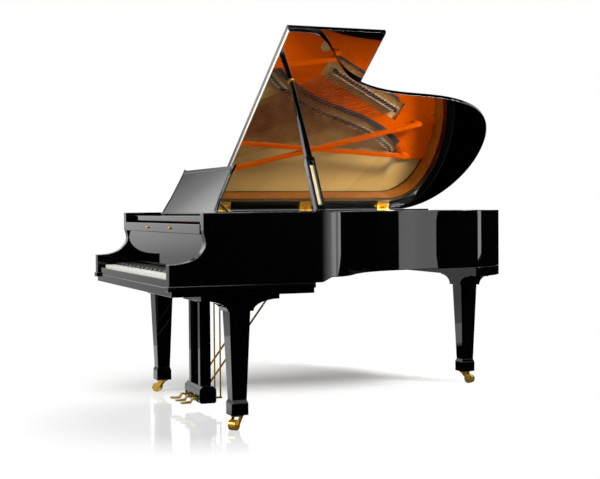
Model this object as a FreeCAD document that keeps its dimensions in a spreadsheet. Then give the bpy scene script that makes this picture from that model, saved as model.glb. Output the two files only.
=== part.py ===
# Grand piano with its lid open, as a parametric FreeCAD document in millimetres.
# +X is the treble side, +Y the tail, +Z up; z 0 is the floor.
# Lengths along y are measured from the front of the arms and moved to the middle at the end.
import math
import os
import re

import FreeCAD
import Part
from FreeCAD import Placement, Rotation, Vector

os.makedirs("parts", exist_ok=True)
doc = FreeCAD.newDocument("grand_piano")
sheet = doc.addObject("Spreadsheet::Sheet", "Sizes")

sizes = {
    # Fits shared by all pieces
    "overrun": 20,
    "seat_gap": 0.3,
    "running_fit": 0.05,
    # Case
    "rim_length": 2178,
    "rim_wall": 50,
    "rim_upper_height": 180,
    "rim_lift": 23,
    "step_gap": 36,
    "step_run": 64,
    "arm_height": 99,
    "cheek_step": 15,
    "cheek_rise": 152,
    "belly_gap": 52,
    "inner_rim_wall": 45,
    "belly_thickness": 60,
    "beam_width": 64,
    "beam_height": 84,
    "tail_board_thickness": 50,
    "tail_board_depth": 330,
    # Keybed and front
    "keybed_bottom": 631,
    "keybed_thickness": 39,
    "keybed_front": 11,
    "keybed_past": 168,
    "moulding_lower": 25,
    "moulding_upper": 23,
    "moulding_past": 12,
    "moulding_reach": 6,
    "keyslip_thickness": 12,
    "keyslip_height": 38,
    "keyblock_width": 81.9,
    "keyblock_height": 50,
    "keyblock_past": 17,
    # Keys
    "key_front_gap": 3,
    "key_stack": 55,
    "key_thickness": 23,
    "key_length": 374,
    "white_pitch": 23.6,
    "key_gap": 1,
    "head_length": 50,
    "sharp_length": 96,
    "sharp_width": 10.5,
    "sharp_rise": 12,
    "sharp_slope": 7,
    "sharp_slot": 13,
    "keyboard_side_gap": 4.5,
    "balance_run": 229,
    "balance_width": 12,
    "frame_rail_height": 18,
    "front_rail_depth": 44,
    "back_rail_inset": 20,
    "back_rail_depth": 65,
    "back_rail_past": 21.4,
    "slat_width": 60,
    "slat_height": 14,
    # Hammers and their rack
    "scale_margin": 3.6,
    "section_break": 42,
    "bass_break": 56,
    "strike_gap": 18,
    "hammer_shank": 128,
    "hammer_rise": 83,
    "hammer_reach": 62,
    "hammer_width": 9.5,
    "hammer_head_depth": 26,
    "hammer_head_drop": 10,
    "shank_height": 5,
    "shank_tail": 4,
    "hammer_swing_angle": 19,
    "hammer_rail_depth": 24,
    "hammer_rail_height": 20,
    "bracket_width": 8,
    "bracket_lift": 13,
    "bracket_rise": 20,
    # Pin block, plate and soundboard
    "pinblock_gap": 19,
    "pinblock_inset": 10,
    "plate_lift": 14,
    "plate_thickness": 12,
    "pinblock_thickness": 31,
    "plate_side_gap": 3,
    "plate_web_past": 0.5,
    "soundboard_thickness": 9,
    "rib_width": 24,
    "rib_height": 20,
    "string_line_gap": 10,
    "bridge_height": 40,
    "bass_bridge_height": 56,
    "long_bridge_width": 32,
    "bass_bridge_width": 36,
    "hitch_offset": 48,
    "bass_window": 116,
    "hitch_reach": 50,
    "hitch_height": 8,
    "tail_panel_depth": 273,
    "tail_panel_x": -480,
    "felt_offset": 50,
    "felt_width": 28,
    "felt_thickness": 3.5,
    "strut_width": 22,
    "strut_rise": 52,
    "strut_height": 28,
    "strut_foot_depth": 30,
    "strut_inset": 25,
    "strut_side_gap": 24,
    "wire": 1.2,
    "wound_wire": 2.8,
    "pin_radius": 3.2,
    "pin_length": 56,
    "pin_stand": 30,
    "pin_inset": 35,
    "pin_row_step": 34,
    "bar_height": 11,
    "bar_depth": 8,
    "bass_bar_rise": 4,
    "plate_hole_radius": 35,
    "bolt_radius": 9,
    "bolt_head_height": 8,
    # Dampers
    "damper_gap": 36,
    "damper_depth": 44,
    "damper_width": 10,
    "damper_height": 16,
    "damper_wire": 1.2,
    "damper_wire_inset": 6,
    "damper_tray_rise": 17,
    "damper_tray_height": 8,
    "damper_tray_depth": 10,
    "sostenuto_radius": 3.5,
    "sostenuto_rise": 48,
    # Fallboard
    "fallboard_setback": 152,
    "fallboard_thickness": 18,
    "fallboard_clear": 20,
    "fallboard_face": 167,
    "lip_height": 45,
    "lip_reach": 18,
    "fallboard_side_gap": 1,
    "fallboard_pivot_rise": 20,
    "fallboard_pin_radius": 5,
    "fallboard_pin_reach": 12,
    "knob_spacing": 420,
    "knob_radius": 6,
    "knob_length": 9,
    # Music desk
    "tray_setback": 20,
    "tray_depth": 272,
    "tray_drop": 20,
    "tray_thickness": 15,
    "tray_rail_lip": 8,
    "tray_rail_rise": 3,
    "tray_rail_depth": 24,
    "tray_side_gap": 2,
    "tray_wing": 215,
    "tray_runner_height": 14,
    "tray_runner_width": 18,
    "desk_setback": 119,
    "desk_hinge_rise": 10,
    "desk_height": 272,
    "desk_angle": 26.5,
    "desk_bottom_width": 950,
    "desk_taper": 48,
    "desk_thickness": 12,
    "desk_hinge_drop": 6,
    "desk_ledge": 8,
    "desk_ledge_height": 6,
    "desk_ear": 9,
    "desk_hinge_depth": 12,
    "strut_stay_seat": 58,
    "stay_angle": 45,
    "stay_width": 14,
    "stay_thickness": 7,
    "stay_inset": 40,
    # Lid
    "lid_overhang": 12,
    "lid_thickness": 20,
    "lid_angle": 35,
    "lid_fold_setback": 103.614,
    "flap_depth": 530,
    "fold_gap": 0.5,
    "fold_axis_rise": 1.5,
    "fold_pin_radius": 1.4,
    "hinge_rise": 4,
    "hinge_knuckle_radius": 3.7,
    "hinge_pin_radius": 1.5,
    "hinge_width": 76,
    "hinge_leaf": 48,
    "hinge_leaf_thickness": 1.6,
    # Prop
    "bracket_plate": 11.4,
    "prop_setback": 18.614,
    "prop_drop": 25,
    "prop_pin_radius": 4,
    "prop_lean": 44,
    "prop_tongue": 28,
    "prop_ear": 8,
    "prop_ear_radius": 15,
    "sheath_length": 345,
    "sheath_wide": 46,
    "sheath_deep": 40,
    "stick_bottom": 32,
    "stick_top": 17,
    "slot_start": 55,
    "slot_width": 21,
    "half_stick_width": 18,
    "slot_end": 26,
    "half_stick_depth": 20,
    "half_stick_pin_radius": 2.5,
    "cup_radius": 18,
    "cup_height": 6,
    # Legs and casters
    "leg_inset": 100,
    "leg_y": 350,
    "rear_leg_x": -250,
    "rear_leg_inset": 113,
    "leg_top_width": 102,
    "leg_ankle_width": 70,
    "leg_foot_width": 82,
    "wheel_clear": 12,
    "foot_height": 55,
    "ankle_rise": 16,
    "capital_length": 382,
    "rear_capital_length": 335,
    "capital_width": 128,
    "capital_plate": 23,
    "capital_height": 76,
    "capital_waist": 124,
    "caster_trail": 30,
    "wheel_radius": 25,
    "wheel_width": 36,
    "axle_radius": 4,
    "fork_cheek": 5,
    "fork_side_gap": 1,
    "fork_plate_radius": 30,
    "fork_plate_height": 8,
    "treble_caster_angle": -51,
    "bass_caster_angle": -129,
    "rear_caster_angle": 35,
    # Lyre and pedals
    "lyre_head_width": 250,
    "lyre_head_front": 322,
    "lyre_head_depth": 148,
    "lyre_head_height": 71,
    "post_spacing": 160,
    "post_width": 32,
    "post_depth": 57,
    "post_setback": 20,
    "box_end_wall": 22,
    "box_setback": 6,
    "box_depth": 88,
    "box_bottom": 43,
    "box_height": 87,
    "box_chamfer": 16,
    "pedal_spacing": 95,
    "pedal_slot_width": 28,
    "pedal_slot_lift": 4,
    "pedal_slot_height": 37,
    "pedal_width": 22,
    "pedal_tip_width": 30,
    "pedal_thickness": 9,
    "pedal_reach": 88,
    "pedal_past": 40,
    "pedal_pivot_rise": 19,
    "pedal_tip_drop": 16,
    "pedal_crook": 9,
    "pedal_pin_radius": 4,
    "rod_inset": 6,
    "rod_top_gap": 13,
    "rod_radius": 4,
    "rod_rest_gap": 0.7,
    "brace_radius": 5,
    "brace_foot_rise": 12,
    "brace_run": 422,
    "brace_beam_width": 80,
    "brace_beam_span": 520,
}

# Shares chosen by hand: x of half the case width, y of the rim length
bentside_shares = (
    (1.0, 0.363),
    (0.867, 0.431),
    (0.607, 0.505),
    (0.429, 0.643),
    (0.381, 0.803),
    (0.207, 0.937),
    (-0.2, 0.9965),
    (-0.62, 0.985),
    (-0.92, 0.92),
    (-1.0, 0.84),
)
# The arm's curve: y of the cheek's setback, z of the rise from arm top to knee
arm_shares = ((0.0, 0.0), (0.55, 0.066), (0.84, 0.217), (1.067, 0.632), (1.0, 1.0))
# Shares on the scale: x of half the case width, y of the way from the string line to the tail
long_bridge_shares = (
    (0.8, 0.0385),
    (0.573, 0.1303),
    (0.287, 0.2461),
    (0.0147, 0.3446),
    (-0.187, 0.4641),
    (-0.409, 0.7167),
    (-0.564, 0.8177),
)
bass_bridge_shares = ((0.0813, 0.5627), (-0.208, 0.8029))
# Where each plate strut ends towards the tail, from the bass side on
strut_end_shares = ((-0.31, 0.9), (-0.592, 0.8706), (0.2, 0.5713), (0.46, 0.2769))
plate_hole_shares = ((0.27, 0.615), (0.52, 0.48))
plate_bolt_shares = (
    (0.86, 0.3),
    (0.66, 0.43),
    (0.38, 0.56),
    (0.3, 0.72),
    (0.24, 0.84),
    (0.04, 0.925),
    (-0.24, 0.965),
    (-0.5, 0.955),
)
beam_shares = (
    ((-0.72, 0.24), (-0.74, 0.97)),
    ((-0.36, 0.24), (-0.4, 1.02)),
    ((0.0, 0.24), (-0.06, 1.02)),
    ((0.36, 0.24), (0.2, 1.0)),
    ((0.66, 0.24), (0.62, 0.6)),
)
lid_hinge_shares = (0.349, 0.583, 0.818)
slat_shares = (-0.98, -0.5, 0.0, 0.5, 0.98)
section_notes = (20, 24, 22, 22)
single_bass_notes = 8
damped_notes = 66
bichord_share = 1.5
desk_waist_share = 0.75
# Heights of the bends in the desk's sides
desk_bend_shares = (0.109, 0.254, 0.327, 0.8185)
outline_steps = 40
bridge_steps = 24
rib_count = 11
rib_turn = 40
capital_steps = 12
crook_steps = 8
white_count = 52
inner_breaks = len(section_notes) - 2
note_steps = sum(section_notes) - len(section_notes)

# Places and sizes that follow from the sizes above, each cell a formula of the sheet
derived = {
    "keyboard_width": f"{white_count} * white_pitch",
    "case_width": "keyboard_width + 2 * (keyboard_side_gap + keyblock_width + rim_wall)",
    "back_rail_width": "keyboard_width + 2 * back_rail_past",
    "scale_room": f"keyboard_width - scale_margin - bass_break - {inner_breaks} * section_break",
    "note_pitch": f"scale_room / {note_steps}",
    # Heights, from the keybed up
    "keybed_top": "keybed_bottom + keybed_thickness",
    "moulding_step": "keybed_bottom + moulding_lower",
    "rim_foot": "moulding_step + moulding_upper",
    "rim_bottom": "rim_foot + rim_lift",
    "arm_top": "rim_foot + arm_height",
    "cheek_knee": "arm_top + cheek_rise",
    "keyslip_top": "keybed_top + keyslip_height",
    "keyblock_top": "keybed_top + keyblock_height",
    "key_top": "keybed_top + key_stack",
    "hammer_pivot_z": "key_top + hammer_rise",
    "string_height": "hammer_pivot_z + hammer_reach",
    "soundboard_top": "string_height - bridge_height",
    "bass_string_height": "soundboard_top + bass_bridge_height",
    "rim_top": "soundboard_top + rim_upper_height",
    "plate_bottom": "soundboard_top + plate_lift",
    "strut_bottom": "plate_bottom + plate_thickness + strut_rise",
    "pin_top": "plate_bottom + plate_thickness + pin_stand",
    "damper_tray_z": "key_top + damper_tray_rise",
    "sostenuto_z": "damper_tray_z + sostenuto_rise",
    "fallboard_bottom": "key_top + fallboard_clear",
    "fallboard_pivot_z": "fallboard_bottom + fallboard_pivot_rise",
    "fallboard_lip": "fallboard_bottom + fallboard_face",
    "fallboard_top": "fallboard_lip + lip_height",
    "tray_top": "rim_top - tray_drop",
    "tray_bottom": "tray_top - tray_thickness",
    "tray_rail_bottom": "tray_bottom - tray_rail_lip",
    "tray_rail_top": "tray_top + tray_rail_rise",
    "desk_pivot_z": "tray_top + desk_hinge_rise",
    "prop_pivot_z": "rim_top - prop_drop",
    "rear_leg_top": "rim_bottom - tail_board_thickness",
    # Heights from the floor up, and down from the keybed
    "leg_bottom": "2 * wheel_radius + wheel_clear + fork_plate_height",
    "foot_shoulder": "leg_bottom + foot_height",
    "leg_ankle": "foot_shoulder + ankle_rise",
    "box_top": "box_bottom + box_height",
    "pedal_slot_bottom": "box_bottom + pedal_slot_lift",
    "pedal_slot_top": "pedal_slot_bottom + pedal_slot_height",
    "pedal_pivot_z": "pedal_slot_bottom + pedal_pivot_rise",
    "brace_foot_z": "box_top + brace_foot_rise",
    "lyre_head_bottom": "keybed_bottom - lyre_head_height",
    "rod_top": "keybed_bottom - rod_top_gap",
    # Places along the case, from the front of the arms
    "key_front": "keybed_front + keyslip_thickness + key_front_gap",
    "key_back": "key_front + key_length",
    "balance_y": "key_front + balance_run",
    "back_rail_front": "key_back - back_rail_inset",
    "back_rail_back": "back_rail_front + back_rail_depth",
    "string_line": "key_back + string_line_gap",
    "hammer_line": "string_line + strike_gap",
    "hammer_pivot_y": "hammer_line - hammer_shank",
    "fallboard_front": "key_front + fallboard_setback",
    "fallboard_pivot_y": "fallboard_front + fallboard_thickness / 2",
    "lip_front": "fallboard_front - lip_reach",
    "cheek_front": "fallboard_front - cheek_step",
    "keyblock_back": "fallboard_front + keyblock_past",
    "pinblock_front": "fallboard_front + fallboard_thickness + pinblock_gap",
    "pinblock_back": "string_line - pinblock_inset",
    "pin_first_y": "pinblock_front + pin_inset",
    "strut_front": "string_line - strut_inset",
    "plate_web_back": "string_line + bar_depth / 2 + plate_web_past",
    "damper_front": "string_line + damper_gap",
    "damper_wire_y": "damper_front + damper_wire_inset",
    "belly_front": "string_line + belly_gap",
    "keybed_back": "belly_front + belly_thickness + keybed_past",
    "moulding_back": "keybed_back + moulding_past",
    "step_start": "moulding_back + step_gap",
    "step_end": "step_start + step_run",
    "tail_panel_y": "rim_length - tail_panel_depth",
    "rear_leg_y": "rim_length - rear_leg_inset",
    "tray_front": "fallboard_front + tray_setback",
    "tray_back": "tray_front + tray_depth",
    "desk_pivot_y": "tray_front + desk_setback",
    "bentside_start": f"{bentside_shares[0][1]} * rim_length",
    "prop_pivot_y": "bentside_start - prop_setback",
    "lid_fold_y": "bentside_start - lid_fold_setback",
    "lyre_head_back": "lyre_head_front + lyre_head_depth",
    "post_front": "lyre_head_front + post_setback",
    "box_front": "lyre_head_front + box_setback",
    "box_back": "box_front + box_depth",
    "pedal_pivot_y": "(box_front + box_back) / 2",
    "pedal_tip_y": "box_front - pedal_reach",
    "pedal_back_y": "box_back + pedal_past",
    "rod_y": "pedal_back_y - rod_inset",
    # Places across the case, and lengths that fill what is left
    "leg_x": "case_width / 2 - leg_inset",
    "prop_pivot_x": "case_width / 2 - rim_wall - 2 * seat_gap - bracket_plate - prop_ear_radius",
    "desk_top_width": "desk_bottom_width - 2 * desk_taper",
    "box_width": "2 * pedal_spacing + pedal_slot_width + 2 * box_end_wall",
    "half_stick_length": "sheath_length - slot_start - slot_end - 2 * half_stick_depth",
}

cells = {**sizes, **{alias: "=" + text for alias, text in derived.items()}}
for row, (alias, value) in enumerate(cells.items(), start=1):
    sheet.set(f"A{row}", alias)
    sheet.set(f"B{row}", str(value))
    sheet.setAlias(f"B{row}", alias)
doc.recompute()


def size(alias):
    return float(sheet.get(alias))


def formula(text):
    return re.sub(r"[a-z][a-z_0-9]*", lambda word: ("Sizes." if word[0] in cells else "") + word[0], text)


# The middle of the whole length, which is the frame's y 0
middle = "(rim_length + lid_overhang) / 2"
half_width = size("case_width") / 2
half_length = (size("rim_length") + size("lid_overhang")) / 2
inside = half_width - size("rim_wall")
key_bottom = size("key_top") - size("key_thickness")
plate_top = size("plate_bottom") + size("plate_thickness")
soundboard_bottom = size("soundboard_top") - size("soundboard_thickness")
gap = size("seat_gap")
nodes = []


def keep(item, label):
    item.Label = label
    nodes.append(item)
    return item


def place(item, x, y, z):
    item.setExpression("Placement.Base.x", formula(x))
    item.setExpression("Placement.Base.y", formula(f"{y} - {middle}"))
    item.setExpression("Placement.Base.z", formula(z))


def block(name, x, y, z, wide, deep, tall):
    item = doc.addObject("Part::Box", name)
    item.setExpression("Length", formula(wide))
    item.setExpression("Width", formula(deep))
    item.setExpression("Height", formula(tall))
    place(item, x, y, z)
    return item


def rod(name, x, y, z, radius, length, axis=None):
    item = doc.addObject("Part::Cylinder", name)
    item.setExpression("Radius", formula(radius))
    item.setExpression("Height", formula(length))
    if axis:
        item.Placement = Placement(Vector(), Rotation(Vector(0, 0, 1), axis))
    place(item, x, y, z)
    return item


def fused(name, items):
    item = doc.addObject("Part::MultiFuse", name)
    item.Shapes = items
    item.Refine = True
    return item


def grouped(name, items):
    item = doc.addObject("Part::Compound", name)
    item.Links = items
    return item


def cut(name, base, tool):
    item = doc.addObject("Part::Cut", name)
    item.Base = base
    item.Tool = tool
    return item


# A free shape, drawn from the front of the arms; turned by an angle about an axis where asked
def feature(name, shape, centre=None, axis=None, angle=0):
    item = doc.addObject("Part::Feature", name)
    own = shape.Placement
    item.Shape = shape
    turn = Placement(Vector(), Rotation(axis, angle), centre) if axis else Placement()
    item.Placement = Placement(Vector(0, -half_length, 0), Rotation()).multiply(turn).multiply(own)
    return item


def outline_face(points):
    return Part.Face(Part.makePolygon(points + points[:1]))


# Prisms on a side profile of (y, z), a front profile of (x, z) or a plan of (x, y)
def side_prism(profile, x, wide):
    return outline_face([Vector(x, y, z) for y, z in profile]).extrude(Vector(wide, 0, 0))


def front_prism(profile, y, deep):
    return outline_face([Vector(x, y, z) for x, z in profile]).extrude(Vector(0, deep, 0))


def plan_prism(profile, z, tall):
    return outline_face([Vector(x, y, z) for x, y in profile]).extrude(Vector(0, 0, tall))


def box_shape(x, y, z, wide, deep, tall):
    return Part.makeBox(wide, deep, tall, Vector(x, y, z))


def joined(shapes):
    return shapes[0].multiFuse(shapes[1:]).removeSplitter()


def in_plan(share):
    return Vector(share[0] * half_width, share[1] * size("rim_length"), 0)


def on_scale(share):
    line = size("string_line")
    return Vector(share[0] * half_width, line + share[1] * (size("rim_length") - line), 0)


# A smooth curve through points, with the given directions at its ends
def smooth(points, first=None, last=None):
    curve = Part.BSplineCurve()
    if first is None:
        curve.interpolate(Points=points)
    else:
        curve.interpolate(Points=points, InitialTangent=first, FinalTangent=last, Scale=False)
    return curve


# The same curve moved sideways to its left by a distance
def shifted(curve, distance, steps, first=None, last=None):
    points = []
    for step in range(steps + 1):
        at = curve.FirstParameter + (curve.LastParameter - curve.FirstParameter) * step / steps
        along = curve.tangent(at)[0]
        points.append(curve.value(at) + Vector(-along.y, along.x, 0) * distance)
    return smooth(points, first, last)


sideward = Vector(1, 0, 0)
tailward = Vector(0, 1, 0)
frontward = Vector(0, -1, 0)
bentside = smooth([in_plan(share) for share in bentside_shares], tailward, frontward)


# The plan of the case at an inset from the rim's outside, from a front line to the tail
def case_slab(inset, front, low, high):
    curve = shifted(bentside, inset, outline_steps, tailward, frontward)
    right, left = curve.StartPoint, curve.EndPoint
    corners = Vector(right.x, front, 0), Vector(left.x, front, 0)
    edges = [
        Part.LineSegment(corners[0], right).toShape(),
        curve.toShape(),
        Part.LineSegment(left, corners[1]).toShape(),
        Part.LineSegment(corners[1], corners[0]).toShape(),
    ]
    face = Part.Face(Part.Wire(edges))
    face.translate(Vector(0, 0, low))
    return face.extrude(Vector(0, 0, high - low))


# Case
def outer_rim():
    over = size("overrun")
    low, high = size("rim_foot"), size("rim_top")
    wall = case_slab(0, 0, low, high).cut(
        case_slab(size("rim_wall"), -over, low - over, high + over)
    )
    rise = size("cheek_knee") - size("arm_top")
    back = size("cheek_front")
    sweep = [Vector(-half_width - over, y * back, size("arm_top") + z * rise) for y, z in arm_shares]
    arm = smooth(sweep, tailward, Vector(0, 0, 1))
    top, front = high + over, -over
    left = -half_width - over
    corners = [sweep[-1], Vector(left, back, top), Vector(left, front, top)]
    corners += [Vector(left, front, size("arm_top")), sweep[0]]
    edges = [Part.LineSegment(*pair).toShape() for pair in zip(corners, corners[1:])]
    across = Vector(size("case_width") + 2 * over, 0, 0)
    arms = Part.Face(Part.Wire([arm.toShape()] + edges)).extrude(across)
    start = Vector(left, size("step_start"), low)
    end = Vector(left, size("step_end"), size("rim_bottom"))
    step = smooth([start, (start + end) / 2, end], tailward, tailward)
    under = [end, Vector(left, size("rim_length") + over, end.z)]
    under += [Vector(left, under[1].y, low - over), Vector(left, start.y, low - over), start]
    edges = [Part.LineSegment(*pair).toShape() for pair in zip(under, under[1:])]
    belly = Part.Face(Part.Wire([step.toShape()] + edges)).extrude(across)
    reach = inside + size("fallboard_pin_reach") + gap
    bore = Part.makeCylinder(
        size("fallboard_pin_radius") + size("running_fit"),
        2 * reach,
        Vector(-reach, size("fallboard_pivot_y"), size("fallboard_pivot_z")),
        sideward,
    )
    cleats = []
    wide, tall = size("tray_runner_width"), size("tray_runner_height")
    front = size("tray_front") + size("tray_rail_depth")
    for x in (-inside, inside - wide):
        z = size("tray_bottom") - tall
        cleats.append(box_shape(x, front, z, wide, size("tray_back") - front, tall))
    return joined([wall.cut(arms).cut(belly).cut(bore)] + cleats)


def inner_rim():
    inset = size("rim_wall") + gap
    front = size("belly_front") + size("belly_thickness")
    core = case_slab(inset + size("inner_rim_wall"), front - size("overrun"), 0, size("rim_top"))
    return case_slab(inset, front, size("rim_bottom"), soundboard_bottom).cut(core)


keep(feature("OuterRim", outer_rim()), "outer_rim")
keep(feature("InnerRim", inner_rim()), "inner_rim")
keep(
    block(
        "Keybed",
        "-case_width / 2 + rim_wall",
        "keybed_front",
        "keybed_bottom",
        "case_width - 2 * rim_wall",
        "keybed_back - keybed_front",
        "keybed_thickness",
    ),
    "keybed",
)
keep(
    block(
        "BellyRail",
        "-case_width / 2 + rim_wall",
        "belly_front",
        "keybed_bottom + keybed_thickness",
        "case_width - 2 * rim_wall",
        "belly_thickness",
        "soundboard_top - soundboard_thickness - keybed_bottom - keybed_thickness",
    ),
    "belly_rail",
)

mouldings = []
for side, low_x, high_x in (
    ("Treble", "case_width / 2 - rim_wall", "case_width / 2 - rim_wall"),
    ("Bass", "-case_width / 2", "-case_width / 2 - moulding_reach"),
):
    lower = block(
        side + "BaseBoard",
        low_x,
        "keybed_front",
        "keybed_bottom",
        "rim_wall",
        "moulding_back - keybed_front",
        "moulding_step - keybed_bottom",
    )
    upper = block(
        side + "BaseStep",
        high_x,
        "-moulding_reach",
        "moulding_step",
        "rim_wall + moulding_reach",
        "moulding_back + 2 * moulding_reach",
        "rim_foot - moulding_step",
    )
    mouldings.append(fused(side + "Moulding", [lower, upper]))
keep(grouped("BaseMouldings", mouldings), "base_mouldings")


def brace_start_y():
    return size("post_front") + size("post_depth")


def radiating_beams():
    width, height = size("beam_width"), size("beam_height")
    low = size("rim_bottom")
    front = size("belly_front") + size("belly_thickness")
    room = case_slab(size("rim_wall") + size("inner_rim_wall") + 2 * gap, front, low, low + height)
    beams = []
    for first, last in beam_shares:
        start, end = in_plan(first), in_plan(last)
        along = (end - start).normalize()
        start = start - along * front
        across = Vector(-along.y, along.x, 0) * (width / 2)
        corners = (start + across, start - across, end - across, end + across)
        beam = plan_prism([(point.x, point.y) for point in corners], low, height)
        beams.append(beam.common(room))
    across_y = brace_start_y() + size("brace_run") - size("brace_beam_width") / 2
    span = size("brace_beam_span")
    cross = box_shape(-span / 2, across_y, low, span, size("brace_beam_width"), height)
    return Part.makeCompound(joined(beams + [cross]).Solids)


keep(feature("BackBeams", radiating_beams()), "back_beams")


def tail_board():
    low = size("rear_leg_top")
    high = low + size("tail_board_thickness")
    front = size("rim_length") - size("tail_board_depth")
    half, over = half_width + size("overrun"), size("overrun")
    room = box_shape(-half, front, low - over, 2 * half, size("rim_length"), high - low + 2 * over)
    return case_slab(gap, 0, low, high).common(room)


keep(feature("RearLegBoard", tail_board()), "rear_leg_board")

# Keyboard front
keep(
    block(
        "Keyslip",
        "-case_width / 2 + rim_wall",
        "keybed_front",
        "keybed_bottom + keybed_thickness",
        "case_width - 2 * rim_wall",
        "keyslip_thickness",
        "keyslip_top - keybed_bottom - keybed_thickness",
    ),
    "keyslip",
)
keyboard_half = size("keyboard_width") / 2
block_inner = "(keyboard_width / 2 + keyboard_side_gap)"
key_blocks = [
    block(
        side + "KeyBlock",
        x,
        "keybed_front + keyslip_thickness",
        "keybed_bottom + keybed_thickness",
        f"case_width / 2 - rim_wall - {block_inner}",
        "keyblock_back - keybed_front - keyslip_thickness",
        "keyblock_top - keybed_bottom - keybed_thickness",
    )
    for side, x in (("Treble", block_inner), ("Bass", "-case_width / 2 + rim_wall"))
]
keep(grouped("KeyBlocks", key_blocks), "key_blocks")

# Keys: white keys notched for the sharps, which lie on the lines between them
sharp_after = (True, False, True, True, False, True, True)


def has_sharp(line):
    return 0 < line < white_count and sharp_after[(line - 1) % len(sharp_after)]


def white_keys():
    front, back = size("key_front"), size("key_front") + size("key_length")
    shoulder = front + size("head_length")
    notch = (size("sharp_slot") - size("key_gap")) / 2
    keys = []
    for number in range(white_count):
        left = number * size("white_pitch") - keyboard_half + size("key_gap") / 2
        right = left + size("white_pitch") - size("key_gap")
        tail_left = left + notch * has_sharp(number)
        tail_right = right - notch * has_sharp(number + 1)
        plan = [(left, front), (right, front), (right, shoulder), (tail_right, shoulder)]
        plan += [(tail_right, back), (tail_left, back), (tail_left, shoulder), (left, shoulder)]
        plan = [point for place_at, point in enumerate(plan) if point not in plan[:place_at]]
        keys.append(plan_prism(plan, key_bottom, size("key_thickness")))
    return Part.makeCompound(keys)


def black_keys():
    front = size("key_front") + size("head_length") + size("key_gap")
    back = size("key_front") + size("key_length")
    top, crown = size("key_top"), size("key_top") + size("sharp_rise")
    end = front + size("sharp_length")
    profile = [(front, key_bottom), (back, key_bottom), (back, top), (end, top), (end, crown)]
    profile += [(front + size("sharp_slope"), crown), (front, top)]
    keys = []
    for line in range(white_count):
        if has_sharp(line):
            x = line * size("white_pitch") - keyboard_half - size("sharp_width") / 2
            keys.append(side_prism(profile, x, size("sharp_width")))
    return Part.makeCompound(keys)


keep(feature("WhiteKeys", white_keys()), "white_keys")
keep(feature("BlackKeys", black_keys()), "black_keys")

frame_rails = [
    block(
        "FrontRail",
        "-keyboard_width / 2",
        "key_front",
        "keybed_bottom + keybed_thickness",
        "keyboard_width",
        "front_rail_depth",
        "frame_rail_height",
    ),
    block(
        "BalanceRail",
        "-keyboard_width / 2",
        "balance_y - balance_width / 2",
        "keybed_bottom + keybed_thickness",
        "keyboard_width",
        "balance_width",
        "key_top - key_thickness - seat_gap - keybed_bottom - keybed_thickness",
    ),
    block(
        "BackRail",
        "-back_rail_width / 2",
        "back_rail_front",
        "keybed_bottom + keybed_thickness",
        "back_rail_width",
        "back_rail_back - back_rail_front",
        "key_top - key_thickness - seat_gap - keybed_bottom - keybed_thickness",
    ),
]
for number, slat_share in enumerate(slat_shares):
    frame_rails.append(
        block(
            f"Slat{number}",
            f"{slat_share} * (keyboard_width - slat_width) / 2 - slat_width / 2",
            "key_front",
            "keybed_bottom + keybed_thickness",
            "slat_width",
            "back_rail_back - key_front",
            "slat_height",
        )
    )
keep(fused("Keyframe", frame_rails), "keyframe")

# Notes: their places across the strike line, in sections with a break for each strut
note_count = sum(section_notes)
note_section = [number for number, count in enumerate(section_notes) for _ in range(count)]
scale_width = (note_count - len(section_notes)) * size("note_pitch") + size("bass_break")
scale_width += (len(section_notes) - 2) * size("section_break")


def note_x(note):
    breaks = note_section[note]
    x = (note - breaks) * size("note_pitch") - scale_width / 2
    if breaks:
        x += size("bass_break") + (breaks - 1) * size("section_break")
    return x


def break_places():
    pairs = zip(range(note_count), range(1, note_count))
    pairs = [(low, high) for low, high in pairs if note_section[low] != note_section[high]]
    return [(note_x(low) + note_x(high)) / 2 for low, high in pairs]


# Key names by semitone from the lowest note, true for the white ones
white_semitones = (True, False, True, True, False, True, False, True, True, False, True, False)


def hammers(white):
    pivot_y, pivot_z = size("hammer_pivot_y"), size("hammer_pivot_z")
    line, tip = size("hammer_line"), plate_top + size("bar_height") - gap
    low, high = pivot_z - size("shank_height") / 2, pivot_z + size("shank_height") / 2
    half, foot = size("hammer_head_depth") / 2, pivot_z - size("hammer_head_drop")
    shoulder = high + (tip - high) / 2
    tail = pivot_y - size("shank_tail")
    profile = [(tail, low), (line - half, low), (line - half, foot), (line + half, foot)]
    profile += [(line + half, shoulder), (line, tip), (line - half, shoulder)]
    profile += [(line - half, high), (tail, high)]
    group = []
    for note in range(note_count):
        if white_semitones[note % len(white_semitones)] == white:
            group.append(side_prism(profile, note_x(note) - size("hammer_width") / 2, size("hammer_width")))
    group = Part.makeCompound(group)
    group.rotate(Vector(0, pivot_y, pivot_z), Vector(1, 0, 0), -size("hammer_swing_angle"))
    return group


keep(feature("WhiteHammers", hammers(True)), "white_hammers")
keep(feature("BlackHammers", hammers(False)), "black_hammers")


def action_rack():
    back = size("hammer_pivot_y") - math.hypot(size("shank_tail"), size("shank_height") / 2) - gap
    front = back - size("hammer_rail_depth")
    top = size("hammer_pivot_z") + size("shank_height") / 2
    low = top - size("hammer_rail_height")
    edge = size("back_rail_width") / 2
    rail = box_shape(-edge, front, low, 2 * edge, back - front, top - low)
    foot = key_bottom - gap
    key_end = size("key_front") + size("key_length")
    over = size("key_top") + size("bracket_lift")
    heel = key_end + size("bracket_width")
    profile = [(heel, foot), (size("back_rail_back"), foot), (size("back_rail_back"), over), (back, low)]
    profile += [(front, low), (front, low - size("bracket_rise")), (heel, over)]
    joints = [-edge + size("bracket_width") / 2, edge - size("bracket_width") / 2]
    joints += break_places()
    brackets = [side_prism(profile, x - size("bracket_width") / 2, size("bracket_width")) for x in joints]
    return joined([rail] + brackets)


keep(feature("ActionRack", action_rack()), "action_rack")

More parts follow.
